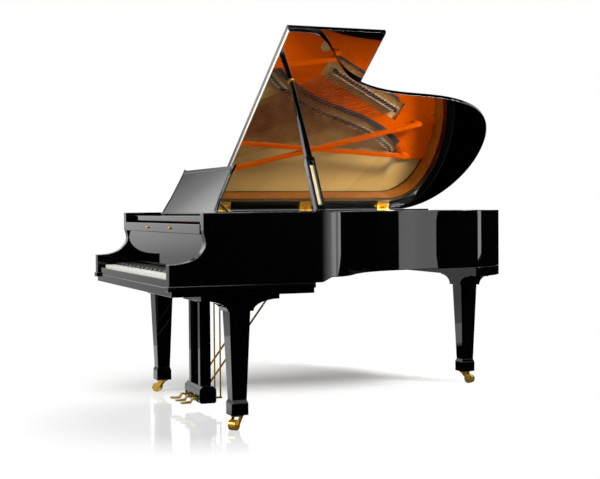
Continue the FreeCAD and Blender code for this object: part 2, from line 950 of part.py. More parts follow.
# Sound body
keep(
    block(
        "PinBlock",
        "-case_width / 2 + rim_wall",
        "pinblock_front",
        "plate_bottom - pinblock_thickness",
        "case_width - 2 * rim_wall",
        "pinblock_back - pinblock_front",
        "pinblock_thickness",
    ),
    "pinblock",
)


def soundboard():
    return case_slab(size("rim_wall") + gap, size("belly_front"), soundboard_bottom, size("soundboard_top"))


keep(feature("Soundboard", soundboard()), "soundboard")


def soundboard_ribs():
    high = soundboard_bottom
    low = high - size("rib_height")
    front = size("belly_front") + size("belly_thickness")
    room = case_slab(size("rim_wall") + size("inner_rim_wall") + 2 * gap, front + gap, low, high)
    reach = size("rim_length")
    ribs = []
    for number in range(rib_count):
        y = front + (size("rim_length") - front) * (number + 1) / (rib_count + 1)
        rib = box_shape(-reach, y, low, 2 * reach, size("rib_width"), high - low)
        rib.rotate(Vector(0, y, 0), Vector(0, 0, 1), rib_turn)
        ribs += rib.common(room).Solids
    return Part.makeCompound(ribs)


keep(feature("SoundboardRibs", soundboard_ribs()), "soundboard_ribs")
long_bridge = smooth([on_scale(share) for share in long_bridge_shares])
bass_bridge = [on_scale(share) for share in bass_bridge_shares]
bass_along = (bass_bridge[1] - bass_bridge[0]).normalize()
bass_across = Vector(bass_along.y, -bass_along.x, 0)


# A strip along the long bridge, between two distances to the tail side of its middle line
def bridge_strip(near, far, low, high):
    inner = shifted(long_bridge, -near, bridge_steps)
    outer = shifted(long_bridge, -far, bridge_steps)
    ends = [
        Part.LineSegment(inner.StartPoint, outer.StartPoint).toShape(),
        Part.LineSegment(inner.EndPoint, outer.EndPoint).toShape(),
    ]
    edges = Part.__sortEdges__([inner.toShape(), outer.toShape()] + ends)
    face = Part.Face(Part.Wire(edges))
    face.translate(Vector(0, 0, low))
    return face.extrude(Vector(0, 0, high - low))


# A straight strip along the bass bridge, reaching past its ends
def bass_strip(near, far, past, low, high):
    first, last = bass_bridge[0] - bass_along * past, bass_bridge[1] + bass_along * past
    corners = [first + bass_across * near, last + bass_across * near]
    corners += [last + bass_across * far, first + bass_across * far]
    return plan_prism([(point.x, point.y) for point in corners], low, high - low)


def bridges():
    half, bass_half = size("long_bridge_width") / 2, size("bass_bridge_width") / 2
    low = size("soundboard_top")
    treble = bridge_strip(-half, half, low, size("string_height") - size("wire"))
    bass = bass_strip(-bass_half, bass_half, bass_half, low, size("bass_string_height") - size("wound_wire"))
    return Part.makeCompound([treble, bass])


keep(feature("Bridges", bridges()), "bridges")


def line_height(bass):
    return plate_top + size("bar_height") + (size("bass_bar_rise") if bass else 0)


# The bars the strings cross at the front, one to a section
def bearing_bars():
    depth, edge = size("bar_depth"), size("note_pitch") / 2
    bars = []
    for section in range(len(section_notes)):
        own = [note_x(note) for note in range(note_count) if note_section[note] == section]
        tall = line_height(section == 0) - plate_top
        y = size("string_line") - depth / 2
        bars.append(box_shape(own[0] - edge, y, plate_top, own[-1] - own[0] + 2 * edge, depth, tall))
    return bars


def iron_plate():
    low, over = size("plate_bottom"), size("overrun")
    sheet_slab = case_slab(size("rim_wall") + size("plate_side_gap"), size("pinblock_front"), low, plate_top)
    edge = shifted(long_bridge, -size("hitch_offset"), bridge_steps)
    far = -half_width - over
    back = size("tail_panel_y")
    past, side = size("rim_length") + over, size("tail_panel_x")
    corners = [edge.EndPoint, Vector(side, back, 0), Vector(side, past, 0), Vector(far, past, 0)]
    corners += [Vector(far, size("plate_web_back"), 0)]
    corners += [Vector(edge.StartPoint.x, size("plate_web_back"), 0), edge.StartPoint]
    lines = [Part.LineSegment(*pair).toShape() for pair in zip(corners, corners[1:])]
    window = Part.Face(Part.Wire([edge.toShape()] + lines))
    window.translate(Vector(0, 0, low - over))
    tall = size("plate_thickness") + 2 * over
    window = window.extrude(Vector(0, 0, tall))
    reach = size("bass_window") / 2
    bass_opening = bass_strip(-reach, reach, reach, low - over, plate_top + over)
    plate = sheet_slab.cut(window).cut(bass_opening)
    for share in plate_hole_shares:
        point = in_plan(share) + Vector(0, 0, low - over)
        plate = plate.cut(Part.makeCylinder(size("plate_hole_radius"), tall, point))
    struts = bearing_bars()
    fronts = [note_x(0) - size("strut_side_gap")] + break_places()
    for x, last in zip(fronts, strut_end_shares):
        start, end = Vector(x, size("strut_front"), 0), on_scale(last)
        along = (end - start).normalize()
        across = Vector(-along.y, along.x, 0) * (size("strut_width") / 2)
        foot = along * size("strut_foot_depth")
        corners = (start + across, start - across, end - across, end + across)
        bar = [(point.x, point.y) for point in corners]
        struts.append(plan_prism(bar, size("strut_bottom"), size("strut_height")))
        for here, there in ((start, start + foot), (end - foot, end)):
            corners = (here + across, here - across, there - across, there + across)
            foot_plan = [(point.x, point.y) for point in corners]
            struts.append(plan_prism(foot_plan, plate_top, size("strut_bottom") - plate_top))
    return joined([plate] + struts)


keep(feature("IronPlate", iron_plate()), "iron_plate")


def plate_bolts():
    radius, bolts = size("bolt_radius"), []
    for share in plate_bolt_shares:
        point = in_plan(share)
        low = Vector(point.x, point.y, size("soundboard_top"))
        bolts.append(Part.makeCylinder(radius, size("plate_bottom") - size("soundboard_top"), low))
        head = Vector(point.x, point.y, plate_top)
        bolts.append(Part.makeCylinder(radius, size("bolt_head_height"), head))
    return Part.makeCompound(bolts)


keep(feature("PlateBolts", plate_bolts()), "plate_bolts")


# Where the long bridge lies at an x, found by halving, and which way it runs there
def long_bridge_at(x):
    low, high = long_bridge.FirstParameter, long_bridge.LastParameter
    for _ in range(outline_steps):
        mid = (low + high) / 2
        if long_bridge.value(mid).x > x:
            low = mid
        else:
            high = mid
    return long_bridge.value(low), long_bridge.tangent(low)[0]


# Each string: its note, front point, bridge point, row of tuning pins, section
# and half its way over the bridge
def string_table():
    treble_notes = note_count - section_notes[0]
    unison = size("note_pitch") / 3
    first_lean = on_scale(long_bridge_shares[0]).x - note_x(note_count - 1) - size("note_pitch") / 2
    last_lean = on_scale(long_bridge_shares[-1]).x - note_x(section_notes[0]) + size("note_pitch") / 2
    table = []
    for note in range(note_count):
        bass = note < section_notes[0]
        count = 3
        if bass:
            count = 1 if note < single_bass_notes else 2
        spread = unison * (bichord_share if count == 2 else 1)
        for number in range(count):
            offset = (number - (count - 1) / 2) * spread
            x = note_x(note) + offset
            if bass:
                share = (section_notes[0] - 1 - note) / (section_notes[0] - 1)
                point = bass_bridge[0] + (bass_bridge[1] - bass_bridge[0]) * share - bass_along * offset
                run, half = bass_along, size("bass_bridge_width") / 2
            else:
                share = (note_count - 1 - note) / (treble_notes - 1)
                point, run = long_bridge_at(x + first_lean + (last_lean - first_lean) * share)
                half = size("long_bridge_width") / 2
            start = Vector(x, size("string_line"), 0)
            across = (point - start).normalize().cross(run).Length
            table.append((note, start, point, number, bass, (half + size("wound_wire")) / across))
    return table


strings = string_table()


# One string from tuning pin over bearing bar and bridge to the hitch pin, as a thin four-sided wire
def wire_shape(start, point, pin_y, clear, thick, line_z, bridge_z):
    along = (point - start).normalize()
    front = start - along * ((size("string_line") - pin_y) / along.y - size("pin_radius") - gap)
    hitch = point + along * (clear + size("hitch_reach"))
    stations = [(front, line_z), (start, line_z), (point - along * clear, bridge_z)]
    stations += [(point + along * clear, bridge_z), (hitch, plate_top + size("hitch_height"))]
    across = Vector(along.y, -along.x, 0) * (thick / 2)
    lower = [place_at - across + Vector(0, 0, z) for place_at, z in stations]
    upper = [corner + Vector(0, 0, thick) for corner in lower]
    return outline_face(lower + upper[::-1]).extrude(across * 2)


def pin_row(note, number):
    return size("pin_first_y") + (number + (note % 2) / 2) * size("pin_row_step")


for label, wants_bass, thick, bridge_z in (
    ("treble_strings", False, "wire", "string_height"),
    ("bass_strings", True, "wound_wire", "bass_string_height"),
):
    wires = []
    for note, start, point, number, bass, clear in strings:
        if bass == wants_bass:
            height = size(bridge_z) - size(thick) + gap
            line_z = line_height(bass) + gap
            pin_y = pin_row(note, number)
            wires.append(wire_shape(start, point, pin_y, clear, size(thick), line_z, height))
    keep(feature(label.title().replace("_", ""), Part.makeCompound(wires)), label)


def tuning_pins():
    pins = []
    for note, start, point, number, _, _ in strings:
        along = (point - start).normalize()
        y = pin_row(note, number)
        x = start.x + along.x * (y - start.y) / along.y
        foot = Vector(x, y, size("pin_top") - size("pin_length"))
        pins.append(Part.makeCylinder(size("pin_radius"), size("pin_length"), foot))
    return Part.makeCompound(pins)


keep(feature("TuningPins", tuning_pins()), "tuning_pins")


def string_felts():
    high = plate_top + size("felt_thickness")
    near = size("felt_offset")
    treble = bridge_strip(near, near + size("felt_width"), plate_top, high)
    reach = size("bass_window") / 2
    bass = bass_strip(reach, reach + size("felt_width") / 2, 0, plate_top, high)
    return Part.makeCompound([treble, bass])


keep(feature("StringFelts", string_felts()), "string_felts")


# Dampers: a head over each note's strings, its wire between them and the tray that lifts all
def dampers():
    wire, tray_top = size("damper_wire"), size("damper_tray_z") + size("damper_tray_height")
    heads = []
    for note in range(damped_notes):
        own = [entry for entry in strings if entry[0] == note]
        _, start, point, _, bass, _ = own[len(own) // 2]
        along = (point - start).normalize()
        reach = size("damper_front") + size("damper_depth") / 2 - start.y
        x = note_x(note) + along.x / along.y * reach
        thick = size("wound_wire") if bass else size("wire")
        bridge_z = size("bass_string_height") if bass else size("string_height")
        line_z = line_height(bass) + gap
        far = (size("damper_front") + size("damper_depth") - start.y) / (point.y - start.y)
        low = max(line_z, line_z + (bridge_z - line_z) * far) + thick + 2 * gap
        heads.append(
            box_shape(
                x - size("damper_width") / 2,
                size("damper_front"),
                low,
                size("damper_width"),
                size("damper_depth"),
                size("damper_height"),
            )
        )
        wire_x = note_x(note) + along.x / along.y * (size("damper_wire_y") - start.y) - wire / 2
        if len(own) != 2:
            wire_x += size("note_pitch") / 6 + (size("wound_wire") / 2 if bass else 0)
        wire_y = size("damper_wire_y") - wire / 2
        heads.append(box_shape(wire_x, wire_y, tray_top, wire, wire, low - tray_top))
    span = scale_width + size("damper_width")
    tray = box_shape(
        -span / 2,
        size("damper_wire_y") - size("damper_tray_depth") / 2,
        size("damper_tray_z"),
        span,
        size("damper_tray_depth"),
        size("damper_tray_height"),
    )
    return Part.makeCompound(heads + [tray])


keep(feature("Dampers", dampers()), "dampers")
keep(
    rod(
        "SostenutoRod",
        "-case_width / 2 + rim_wall + overrun",
        "belly_front - seat_gap - sostenuto_radius",
        "sostenuto_z",
        "sostenuto_radius",
        "case_width - 2 * rim_wall - 2 * overrun",
        sideward,
    ),
    "sostenuto_rod",
)


# Fallboard with its lip and end pins
def fallboard():
    wide = 2 * (inside - size("fallboard_side_gap"))
    back = size("fallboard_front") + size("fallboard_thickness")
    profile = [(size("fallboard_front"), size("fallboard_bottom")), (back, size("fallboard_bottom"))]
    profile += [(back, size("fallboard_top")), (size("lip_front"), size("fallboard_top"))]
    profile += [(size("lip_front"), size("fallboard_lip")), (size("fallboard_front"), size("fallboard_lip"))]
    board = side_prism(profile, -wide / 2, wide)
    reach = inside + size("fallboard_pin_reach")
    start = Vector(-reach, size("fallboard_pivot_y"), size("fallboard_pivot_z"))
    pin = Part.makeCylinder(size("fallboard_pin_radius"), 2 * reach, start, Vector(1, 0, 0))
    return joined([board, pin])


keep(feature("Fallboard", fallboard()), "fallboard")
knobs = [
    rod(
        side + "Knob",
        f"{sign}knob_spacing / 2",
        "lip_front",
        "(fallboard_lip + fallboard_top) / 2",
        "knob_radius",
        "knob_length",
        frontward,
    )
    for side, sign in (("Treble", ""), ("Bass", "-"))
]
keep(grouped("FallboardKnobs", knobs), "fallboard_knobs")


# Music desk on its sliding tray
def music_tray():
    half = inside - size("tray_side_gap")
    low, high = size("tray_bottom"), size("tray_top")
    front, back = size("tray_front"), size("tray_back")
    inner_front = front + size("tray_rail_depth")
    wing = size("tray_wing")
    rail_tall = size("tray_rail_top") - size("tray_rail_bottom")
    pieces = [box_shape(-half, front, size("tray_rail_bottom"), 2 * half, size("tray_rail_depth"), rail_tall)]
    for x in (-half, half - wing):
        pieces.append(box_shape(x, inner_front, low, wing, back - inner_front, high - low))
    cross = size("desk_pivot_y") - inner_front
    pieces.append(box_shape(-half, inner_front, low, 2 * half, cross, high - low))
    rear = size("tray_rail_depth")
    pieces.append(box_shape(-half, back - 3 * rear, low, 2 * half, 3 * rear, high - low))
    strip = size("desk_hinge_depth")
    wide = size("desk_bottom_width")
    tall = size("desk_pivot_z") - size("desk_hinge_drop") - gap - high
    pieces.append(box_shape(-wide / 2, size("desk_pivot_y") - strip, high, wide, strip, tall))
    return joined(pieces)


keep(feature("MusicTray", music_tray()), "music_tray")

# Desk panel drawn upright over its hinge, with shaped sides, ears and a bottom ledge, then leant back
def music_desk():
    low, high = -size("desk_hinge_drop"), size("desk_height") - size("desk_hinge_drop")
    bottom, top = size("desk_bottom_width") / 2, size("desk_top_width") / 2
    ear = size("desk_ear")
    waist = bottom - (bottom - top) * desk_waist_share
    bends = [low + share * (high - low) for share in desk_bend_shares]
    right = [(bottom, low)] + list(zip((bottom - ear, waist + ear, waist, top - ear), bends))
    right += [(top, high), (top - ear, high), (top - 3 * ear, high - ear)]
    mirrored = [(-x, z) for x, z in right[::-1]]
    panel = front_prism(right + mirrored, -size("desk_thickness"), size("desk_thickness"))
    ledge = box_shape(
        -bottom + 2 * ear,
        -size("desk_thickness") - size("desk_ledge"),
        low,
        2 * bottom - 4 * ear,
        size("desk_ledge"),
        size("desk_ledge_height"),
    )
    return joined([panel, ledge])


desk_hinge = Vector(0, size("desk_pivot_y"), size("desk_pivot_z"))


def leant(shape):
    shape.translate(desk_hinge)
    shape.rotate(desk_hinge, Vector(1, 0, 0), -size("desk_angle"))
    return shape


keep(feature("MusicDesk", leant(music_desk())), "music_desk")


# Stays behind the desk, each from the panel down to the tray
def desk_stays():
    lean, drop = math.radians(size("desk_angle")), math.radians(size("stay_angle"))
    seat, thick = size("strut_stay_seat"), size("stay_thickness")
    radius = thick / 2 + gap
    y = size("desk_pivot_y") + seat * math.sin(lean) + radius * math.cos(lean)
    z = size("desk_pivot_z") + seat * math.cos(lean) - radius * math.sin(lean)
    foot = size("tray_top") + gap
    length = (z - foot) / math.sin(drop)
    along = Vector(0, math.cos(drop), -math.sin(drop))
    across = Vector(0, math.sin(drop), math.cos(drop)) * (thick / 2)
    start = Vector(0, y, z)
    end = start + along * length
    flat = thick / 2 / math.tan(drop)
    corners = [start + across, start - across, end - across - along * flat, end + across + along * flat]
    corners[2] = Vector(0, corners[2].y, foot)
    corners[3] = Vector(0, corners[3].y, foot)
    stays = []
    for sign in (-1, 1):
        middle_x = sign * (size("desk_bottom_width") / 2 - size("stay_inset"))
        x = middle_x - size("stay_width") / 2
        stays.append(side_prism([(corner.y, corner.z) for corner in corners], x, size("stay_width")))
    return Part.makeCompound(stays)


keep(feature("DeskStays", desk_stays()), "desk_stays")

# Lid, drawn closed and opened about the hinge line
lid_axis = Vector(-half_width, 0, size("rim_top") + size("hinge_rise"))
lid_low = lid_axis.z + size("hinge_rise")
lid_high = lid_low + size("lid_thickness")
open_lid = {"centre": lid_axis, "axis": frontward, "angle": size("lid_angle")}


def main_lid():
    front = size("lid_fold_y") + size("fold_gap")
    over = size("overrun")
    wide = size("case_width") + over
    room = box_shape(-half_width, front - over, lid_low - over, wide, size("rim_length"), wide)
    return case_slab(-size("lid_overhang"), front, lid_low, lid_high).common(room)


def lid_flap():
    wide = size("case_width") + size("lid_overhang")
    near = size("lid_fold_y") + size("fold_gap")
    low = lid_high + 2 * size("fold_axis_rise")
    return box_shape(-half_width, near, low, wide, size("flap_depth"), size("lid_thickness"))


def flap_hinge():
    start = Vector(-half_width, size("lid_fold_y"), lid_high + size("fold_axis_rise"))
    return Part.makeCylinder(size("fold_pin_radius"), size("case_width"), start, Vector(1, 0, 0))


keep(feature("MainLid", main_lid(), **open_lid), "main_lid")
keep(feature("LidFlap", lid_flap(), **open_lid), "lid_flap")
keep(feature("FlapHinge", flap_hinge(), **open_lid), "flap_hinge")


# Lid hinges: a leaf with two outer knuckles and the pin on the case,
# a leaf with the middle knuckle on the lid
def lid_hinges(on_lid):
    radius, wide = size("hinge_knuckle_radius"), size("hinge_width")
    third = wide / 3
    leaves = []
    for share in lid_hinge_shares:
        y = share * size("rim_length") - wide / 2
        line = Vector(lid_axis.x, y, lid_axis.z)
        if on_lid:
            z = lid_low - size("hinge_leaf_thickness")
            start = y + third + gap
            span = third - 2 * gap
        else:
            z = size("rim_top")
            start, span = y, wide
        leaf = box_shape(lid_axis.x, start, z, size("hinge_leaf"), span, size("hinge_leaf_thickness"))
        if on_lid:
            knuckle = Part.makeCylinder(radius, span, Vector(line.x, start, line.z), tailward)
            bore = size("hinge_pin_radius") + size("running_fit")
            hole = Part.makeCylinder(bore, wide, line, tailward)
            leaves.append(joined([leaf, knuckle]).cut(hole))
        else:
            room = box_shape(
                lid_axis.x - 2 * radius,
                y + third,
                z - radius,
                2 * radius + 2 * radius,
                third,
                4 * radius,
            )
            knuckles = joined([leaf, Part.makeCylinder(radius, wide, line, tailward)]).cut(room)
            pin = Part.makeCylinder(size("hinge_pin_radius"), wide, line, tailward)
            leaves.append(joined([knuckles, pin]))
    return Part.makeCompound(leaves)


keep(feature("LidHingesCase", lid_hinges(False)), "lid_hinges_case")
keep(feature("LidHingesLid", lid_hinges(True), **open_lid), "lid_hinges_lid")

# Prop: from its pivot inside the treble rim, square to the open lid
prop_pivot = Vector(size("prop_pivot_x"), size("prop_pivot_y"), size("prop_pivot_z"))
lid_turn = math.radians(size("lid_angle"))
lid_normal = Vector(math.sin(lid_turn), 0, -math.cos(lid_turn))
prop_reach = (prop_pivot - lid_axis).dot(lid_normal) + size("hinge_rise")
prop_length = prop_reach - size("cup_height") - gap
prop_turn = {"centre": prop_pivot, "axis": frontward, "angle": size("lid_angle")}


# A four-sided bar up from the pivot between two heights, its middle leaning towards the tail
def prop_bar(low, high, low_wide, high_wide, low_deep, high_deep):
    rings = []
    for height, wide, deep in ((low, low_wide, low_deep), (high, high_wide, high_deep)):
        lean = size("prop_lean") * height / prop_length
        corners = ((-1, -1), (1, -1), (1, 1), (-1, 1))
        ring = [prop_pivot + Vector(x * deep / 2, lean + y * wide / 2, height) for x, y in corners]
        rings.append(Part.makePolygon(ring + ring[:1]))
    return Part.makeLoft(rings, True, True)


def lid_prop():
    tongue, radius = size("prop_tongue"), size("prop_ear_radius")
    eye = Part.makeCylinder(radius, tongue, prop_pivot - Vector(0, tongue / 2, 0), tailward)
    slim = tongue - 2 * size("prop_lean") * radius / prop_length
    neck = prop_bar(0, size("slot_start"), slim, slim, 2 * radius, size("sheath_deep"))
    wide, deep = size("sheath_wide"), size("sheath_deep")
    sheath = prop_bar(2 * radius, size("sheath_length"), wide, wide, deep, deep)
    bottom, top = size("stick_bottom"), size("stick_top")
    stick = prop_bar(size("sheath_length"), prop_length, bottom, top, bottom, top)
    slot_low = size("slot_start")
    slot_high = slot_low + size("half_stick_length") + 2 * size("half_stick_depth")
    width = size("slot_width")
    slot = prop_bar(slot_low, slot_high, width, width, 2 * deep, 2 * deep)
    prop = joined([eye, neck, sheath, stick]).cut(slot)
    bore = Part.makeCylinder(
        size("prop_pin_radius") + size("running_fit"),
        2 * wide,
        prop_pivot - Vector(0, wide, 0),
        tailward,
    )
    start = half_pivot() - Vector(0, wide / 2, 0)
    pin = Part.makeCylinder(size("half_stick_pin_radius"), wide, start, tailward)
    return joined([prop.cut(bore), pin])


def half_pivot():
    height = size("slot_start") + size("half_stick_depth")
    return prop_pivot + Vector(0, size("prop_lean") * height / prop_length, height)


def half_stick():
    deep, wide = size("half_stick_depth"), size("half_stick_width")
    pivot = half_pivot()
    eye = Part.makeCylinder(deep / 2, wide, pivot - Vector(0, wide / 2, 0), tailward)
    start = pivot.z - prop_pivot.z
    bar = prop_bar(start, start + size("half_stick_length"), wide, wide, deep, deep)
    bore = size("half_stick_pin_radius") + size("running_fit")
    hole = Part.makeCylinder(bore, 2 * wide, pivot - Vector(0, wide, 0), tailward)
    return joined([eye, bar]).cut(hole)


def prop_bracket():
    ear, radius = size("prop_ear"), size("prop_ear_radius")
    inner = size("prop_tongue") / 2 + gap
    back = inside - gap
    ears = []
    for y in (-inner - ear, inner):
        start = prop_pivot + Vector(0, y, 0)
        ears.append(Part.makeCylinder(radius, ear, start, tailward))
        ears.append(box_shape(start.x, start.y, start.z - radius, back - start.x, ear, 2 * radius))
    pin_long = 2 * (inner + ear)
    start = prop_pivot - Vector(0, inner + ear, 0)
    ears.append(Part.makeCylinder(size("prop_pin_radius"), pin_long, start, tailward))
    thick = back - prop_pivot.x - radius - gap
    ears.append(box_shape(back - thick, start.y, start.z - radius, thick, pin_long, 2 * radius))
    return joined(ears)


keep(feature("LidProp", lid_prop(), **prop_turn), "lid_prop")
keep(feature("HalfStick", half_stick(), **prop_turn), "half_stick")
keep(feature("PropBracket", prop_bracket()), "prop_bracket")


def prop_cup():
    top = prop_pivot + Vector(0, size("prop_lean"), prop_length + gap)
    return Part.makeCylinder(size("cup_radius"), size("cup_height"), top)


keep(feature("PropCup", prop_cup(), **prop_turn), "prop_cup")


# Legs: a capital spreading along one axis, a tapered shaft and a wider foot
def leg(x, y, top, length, along_x):
    half, plate = length / 2, size("capital_plate")
    waist, low = size("capital_waist") / 2, top - size("capital_height")
    under = top - plate
    sweep = []
    for step in range(1, capital_steps):
        turn = math.pi / 2 * step / capital_steps
        sweep.append((half - (half - waist) * math.sin(turn), low + (under - low) * math.cos(turn)))
    right = [(half, top), (half, under)] + sweep + [(waist, low)]
    profile = right + [(-reach, z) for reach, z in right[::-1]]
    deep = size("capital_width")
    if along_x:
        capital = front_prism([(x + reach, z) for reach, z in profile], y - deep / 2, deep)
    else:
        capital = side_prism([(y + reach, z) for reach, z in profile], x - deep / 2, deep)
    levels = (
        (low, size("leg_top_width")),
        (size("leg_ankle"), size("leg_ankle_width")),
        (size("foot_shoulder"), size("leg_foot_width")),
        (size("leg_bottom"), size("leg_foot_width")),
    )
    rings = []
    for z, width in levels:
        corners = ((-1, -1), (1, -1), (1, 1), (-1, 1))
        ring = [Vector(x + i * width / 2, y + j * width / 2, z) for i, j in corners]
        rings.append(Part.makePolygon(ring + ring[:1]))
    return joined([capital, Part.makeLoft(rings, True, True)])


# Caster: a swivel plate with two trailing cheeks and an axle, and a wheel on it
def caster_fork(x, y, angle):
    top, radius = size("leg_bottom"), size("fork_plate_radius")
    high = top - size("fork_plate_height")
    wheel, trail = size("wheel_radius"), size("caster_trail")
    inner = size("wheel_width") / 2 + size("fork_side_gap")
    cheek = size("fork_cheek")
    plate = Part.makeCylinder(radius, size("fork_plate_height"), Vector(x, y, high))
    pieces = [plate]
    eye = 2 * size("axle_radius")
    for side in (-inner - cheek, inner):
        profile = [(x - trail / 2, high), (x + trail / 2, high), (x + trail + eye, wheel)]
        profile += [(x + trail, wheel - eye), (x + trail - eye, wheel - eye)]
        pieces.append(front_prism(profile, y + side, cheek))
    axle_long = 2 * (inner + cheek)
    start = Vector(x + trail, y - inner - cheek, wheel)
    pieces.append(Part.makeCylinder(size("axle_radius"), axle_long, start, tailward))
    fork = joined(pieces)
    fork.rotate(Vector(x, y, 0), Vector(0, 0, 1), angle)
    return fork


def caster_wheel(x, y, angle):
    wide, radius = size("wheel_width"), size("wheel_radius")
    start = Vector(x + size("caster_trail"), y - wide / 2, radius)
    bore = Part.makeCylinder(size("axle_radius") + size("running_fit"), wide, start, tailward)
    wheel = Part.makeCylinder(radius, wide, start, tailward).cut(bore)
    wheel.rotate(Vector(x, y, 0), Vector(0, 0, 1), angle)
    return wheel


for name, x, y, top, length, along_x in (
    ("front_treble", size("leg_x"), size("leg_y"), size("keybed_bottom"), "capital_length", False),
    ("front_bass", -size("leg_x"), size("leg_y"), size("keybed_bottom"), "capital_length", False),
    ("rear", size("rear_leg_x"), size("rear_leg_y"), size("rear_leg_top"), "rear_capital_length", True),
):
    side = name.split("_")[-1]
    angle = size(f"{side}_caster_angle")
    word = name.title().replace("_", "")
    keep(feature(word + "Leg", leg(x, y, top, size(length), along_x)), f"{name}_leg")
    keep(feature(word + "Fork", caster_fork(x, y, angle)), f"{name}_caster_fork")
    keep(feature(word + "Wheel", caster_wheel(x, y, angle)), f"{name}_caster_wheel")

# Lyre
lyre_guides = [
    rod(
        f"Guide{number}",
        f"{number} * pedal_spacing",
        "rod_y",
        "lyre_head_bottom - overrun",
        "rod_radius + running_fit",
        "keybed_bottom - lyre_head_bottom + overrun",
    )
    for number in (-1, 0, 1)
]
lyre_head = block(
    "LyreHeadBlank",
    "-lyre_head_width / 2",
    "lyre_head_front",
    "lyre_head_bottom",
    "lyre_head_width",
    "lyre_head_back - lyre_head_front",
    "keybed_bottom - lyre_head_bottom",
)
keep(cut("LyreHead", lyre_head, grouped("Guides", lyre_guides)), "lyre_head")
posts = [
    block(
        side + "Post",
        f"{sign}post_spacing / 2 - post_width / 2",
        "post_front",
        "box_top",
        "post_width",
        "post_depth",
        "lyre_head_bottom - box_top",
    )
    for side, sign in (("Treble", ""), ("Bass", "-"))
]
keep(grouped("LyrePosts", posts), "lyre_posts")


def pedal_box():
    wide, edge = size("box_width"), size("box_chamfer")
    front, back = size("box_front"), size("box_back")
    low, high = size("box_bottom"), size("box_top")
    profile = [(front, low + edge / 2), (front + edge / 2, low)]
    profile += [(back - edge / 2, low), (back, low + edge / 2), (back, high - edge)]
    profile += [(back - edge, high), (front + edge, high), (front, high - edge)]
    shell = side_prism(profile, -wide / 2, wide)
    over = size("overrun")
    slot = size("pedal_slot_width")
    tall = size("pedal_slot_top") - size("pedal_slot_bottom")
    for number in (-1, 0, 1):
        x = number * size("pedal_spacing") - slot / 2
        deep = back - front + 2 * over
        shell = shell.cut(box_shape(x, front - over, size("pedal_slot_bottom"), slot, deep, tall))
    start = Vector(-wide / 2, size("pedal_pivot_y"), size("pedal_pivot_z"))
    pin = Part.makeCylinder(size("pedal_pin_radius"), wide, start, Vector(1, 0, 0))
    return joined([shell, pin])


keep(feature("PedalBox", pedal_box()), "pedal_box")


# A pedal: a lever through the box, its tongue dropping to a broad tip in front
def pedal(x):
    thick, z = size("pedal_thickness"), size("pedal_pivot_z")
    tip, back = size("pedal_tip_y"), size("pedal_back_y")
    drop = size("pedal_tip_drop")
    low, high = z - thick / 2, z + thick / 2
    front = size("box_front") - size("box_chamfer")
    bend = tip + (front - tip) * 2 / 3
    upper = []
    for step in range(crook_steps + 1):
        share = step / crook_steps
        fall = drop * (1 - math.cos(math.pi * share)) / 2
        hump = size("pedal_crook") * math.sin(math.pi * share)
        upper.append((front + (bend - front) * share, high - fall + hump))
    lower = [(y, top - thick) for y, top in upper]
    profile = [(back, low), (back, high)] + upper + [(tip, high - drop), (tip, low - drop)] + lower[::-1]
    wide, broad = size("pedal_width"), size("pedal_tip_width")
    lever = side_prism(profile, x - broad / 2, broad)
    plan = [(x - broad / 2, tip), (x + broad / 2, tip), (x + broad / 2, bend), (x + wide / 2, front)]
    plan += [(x + wide / 2, back), (x - wide / 2, back), (x - wide / 2, front), (x - broad / 2, bend)]
    shaped = lever.common(plan_prism(plan, 0, size("box_top")))
    start = Vector(x - broad, size("pedal_pivot_y"), z)
    radius = size("pedal_pin_radius") + size("running_fit")
    bore = Part.makeCylinder(radius, 2 * broad, start, sideward)
    return shaped.cut(bore)


for number, name in enumerate(("soft", "sostenuto", "damper")):
    place_share = number - 1
    keep(feature(name.title() + "Pedal", pedal(place_share * size("pedal_spacing"))), f"{name}_pedal")
    keep(
        rod(
            name.title() + "Rod",
            f"{place_share} * pedal_spacing",
            "rod_y",
            "pedal_pivot_z + pedal_thickness / 2 + rod_rest_gap",
            "rod_radius",
            "rod_top - pedal_pivot_z - pedal_thickness / 2 - rod_rest_gap",
        ),
        f"{name}_pedal_rod",
    )


def lyre_braces():
    rise = size("rim_bottom") - size("brace_foot_z")
    along = Vector(0, size("brace_run"), rise).normalize()
    back, over = brace_start_y(), size("overrun")
    braces = []
    for sign in (-1, 1):
        x = sign * size("post_spacing") / 2
        start = Vector(x, back, size("brace_foot_z")) - along * over
        bar = Part.makeCylinder(size("brace_radius"), size("rim_length"), start, along)
        room = box_shape(x - over, back, 0, 2 * over, size("rim_length"), size("rim_bottom"))
        braces.append(bar.common(room))
    return Part.makeCompound(braces)


keep(feature("LyreBraces", lyre_braces()), "lyre_braces")

doc.recompute()
for item in nodes:
    if "Invalid" in item.State or "Error" in item.State:
        raise RuntimeError(f"{item.Label} did not build: {item.State}")
    if item.Shape.isNull() or not item.Shape.isValid():
        raise RuntimeError(f"{item.Label} has no valid shape")
    item.Shape.exportStep(f"parts/{item.Label}.step")
print(len(nodes), "nodes written")
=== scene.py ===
import math

import bpy
import numpy as np
from mathutils import Matrix, Vector


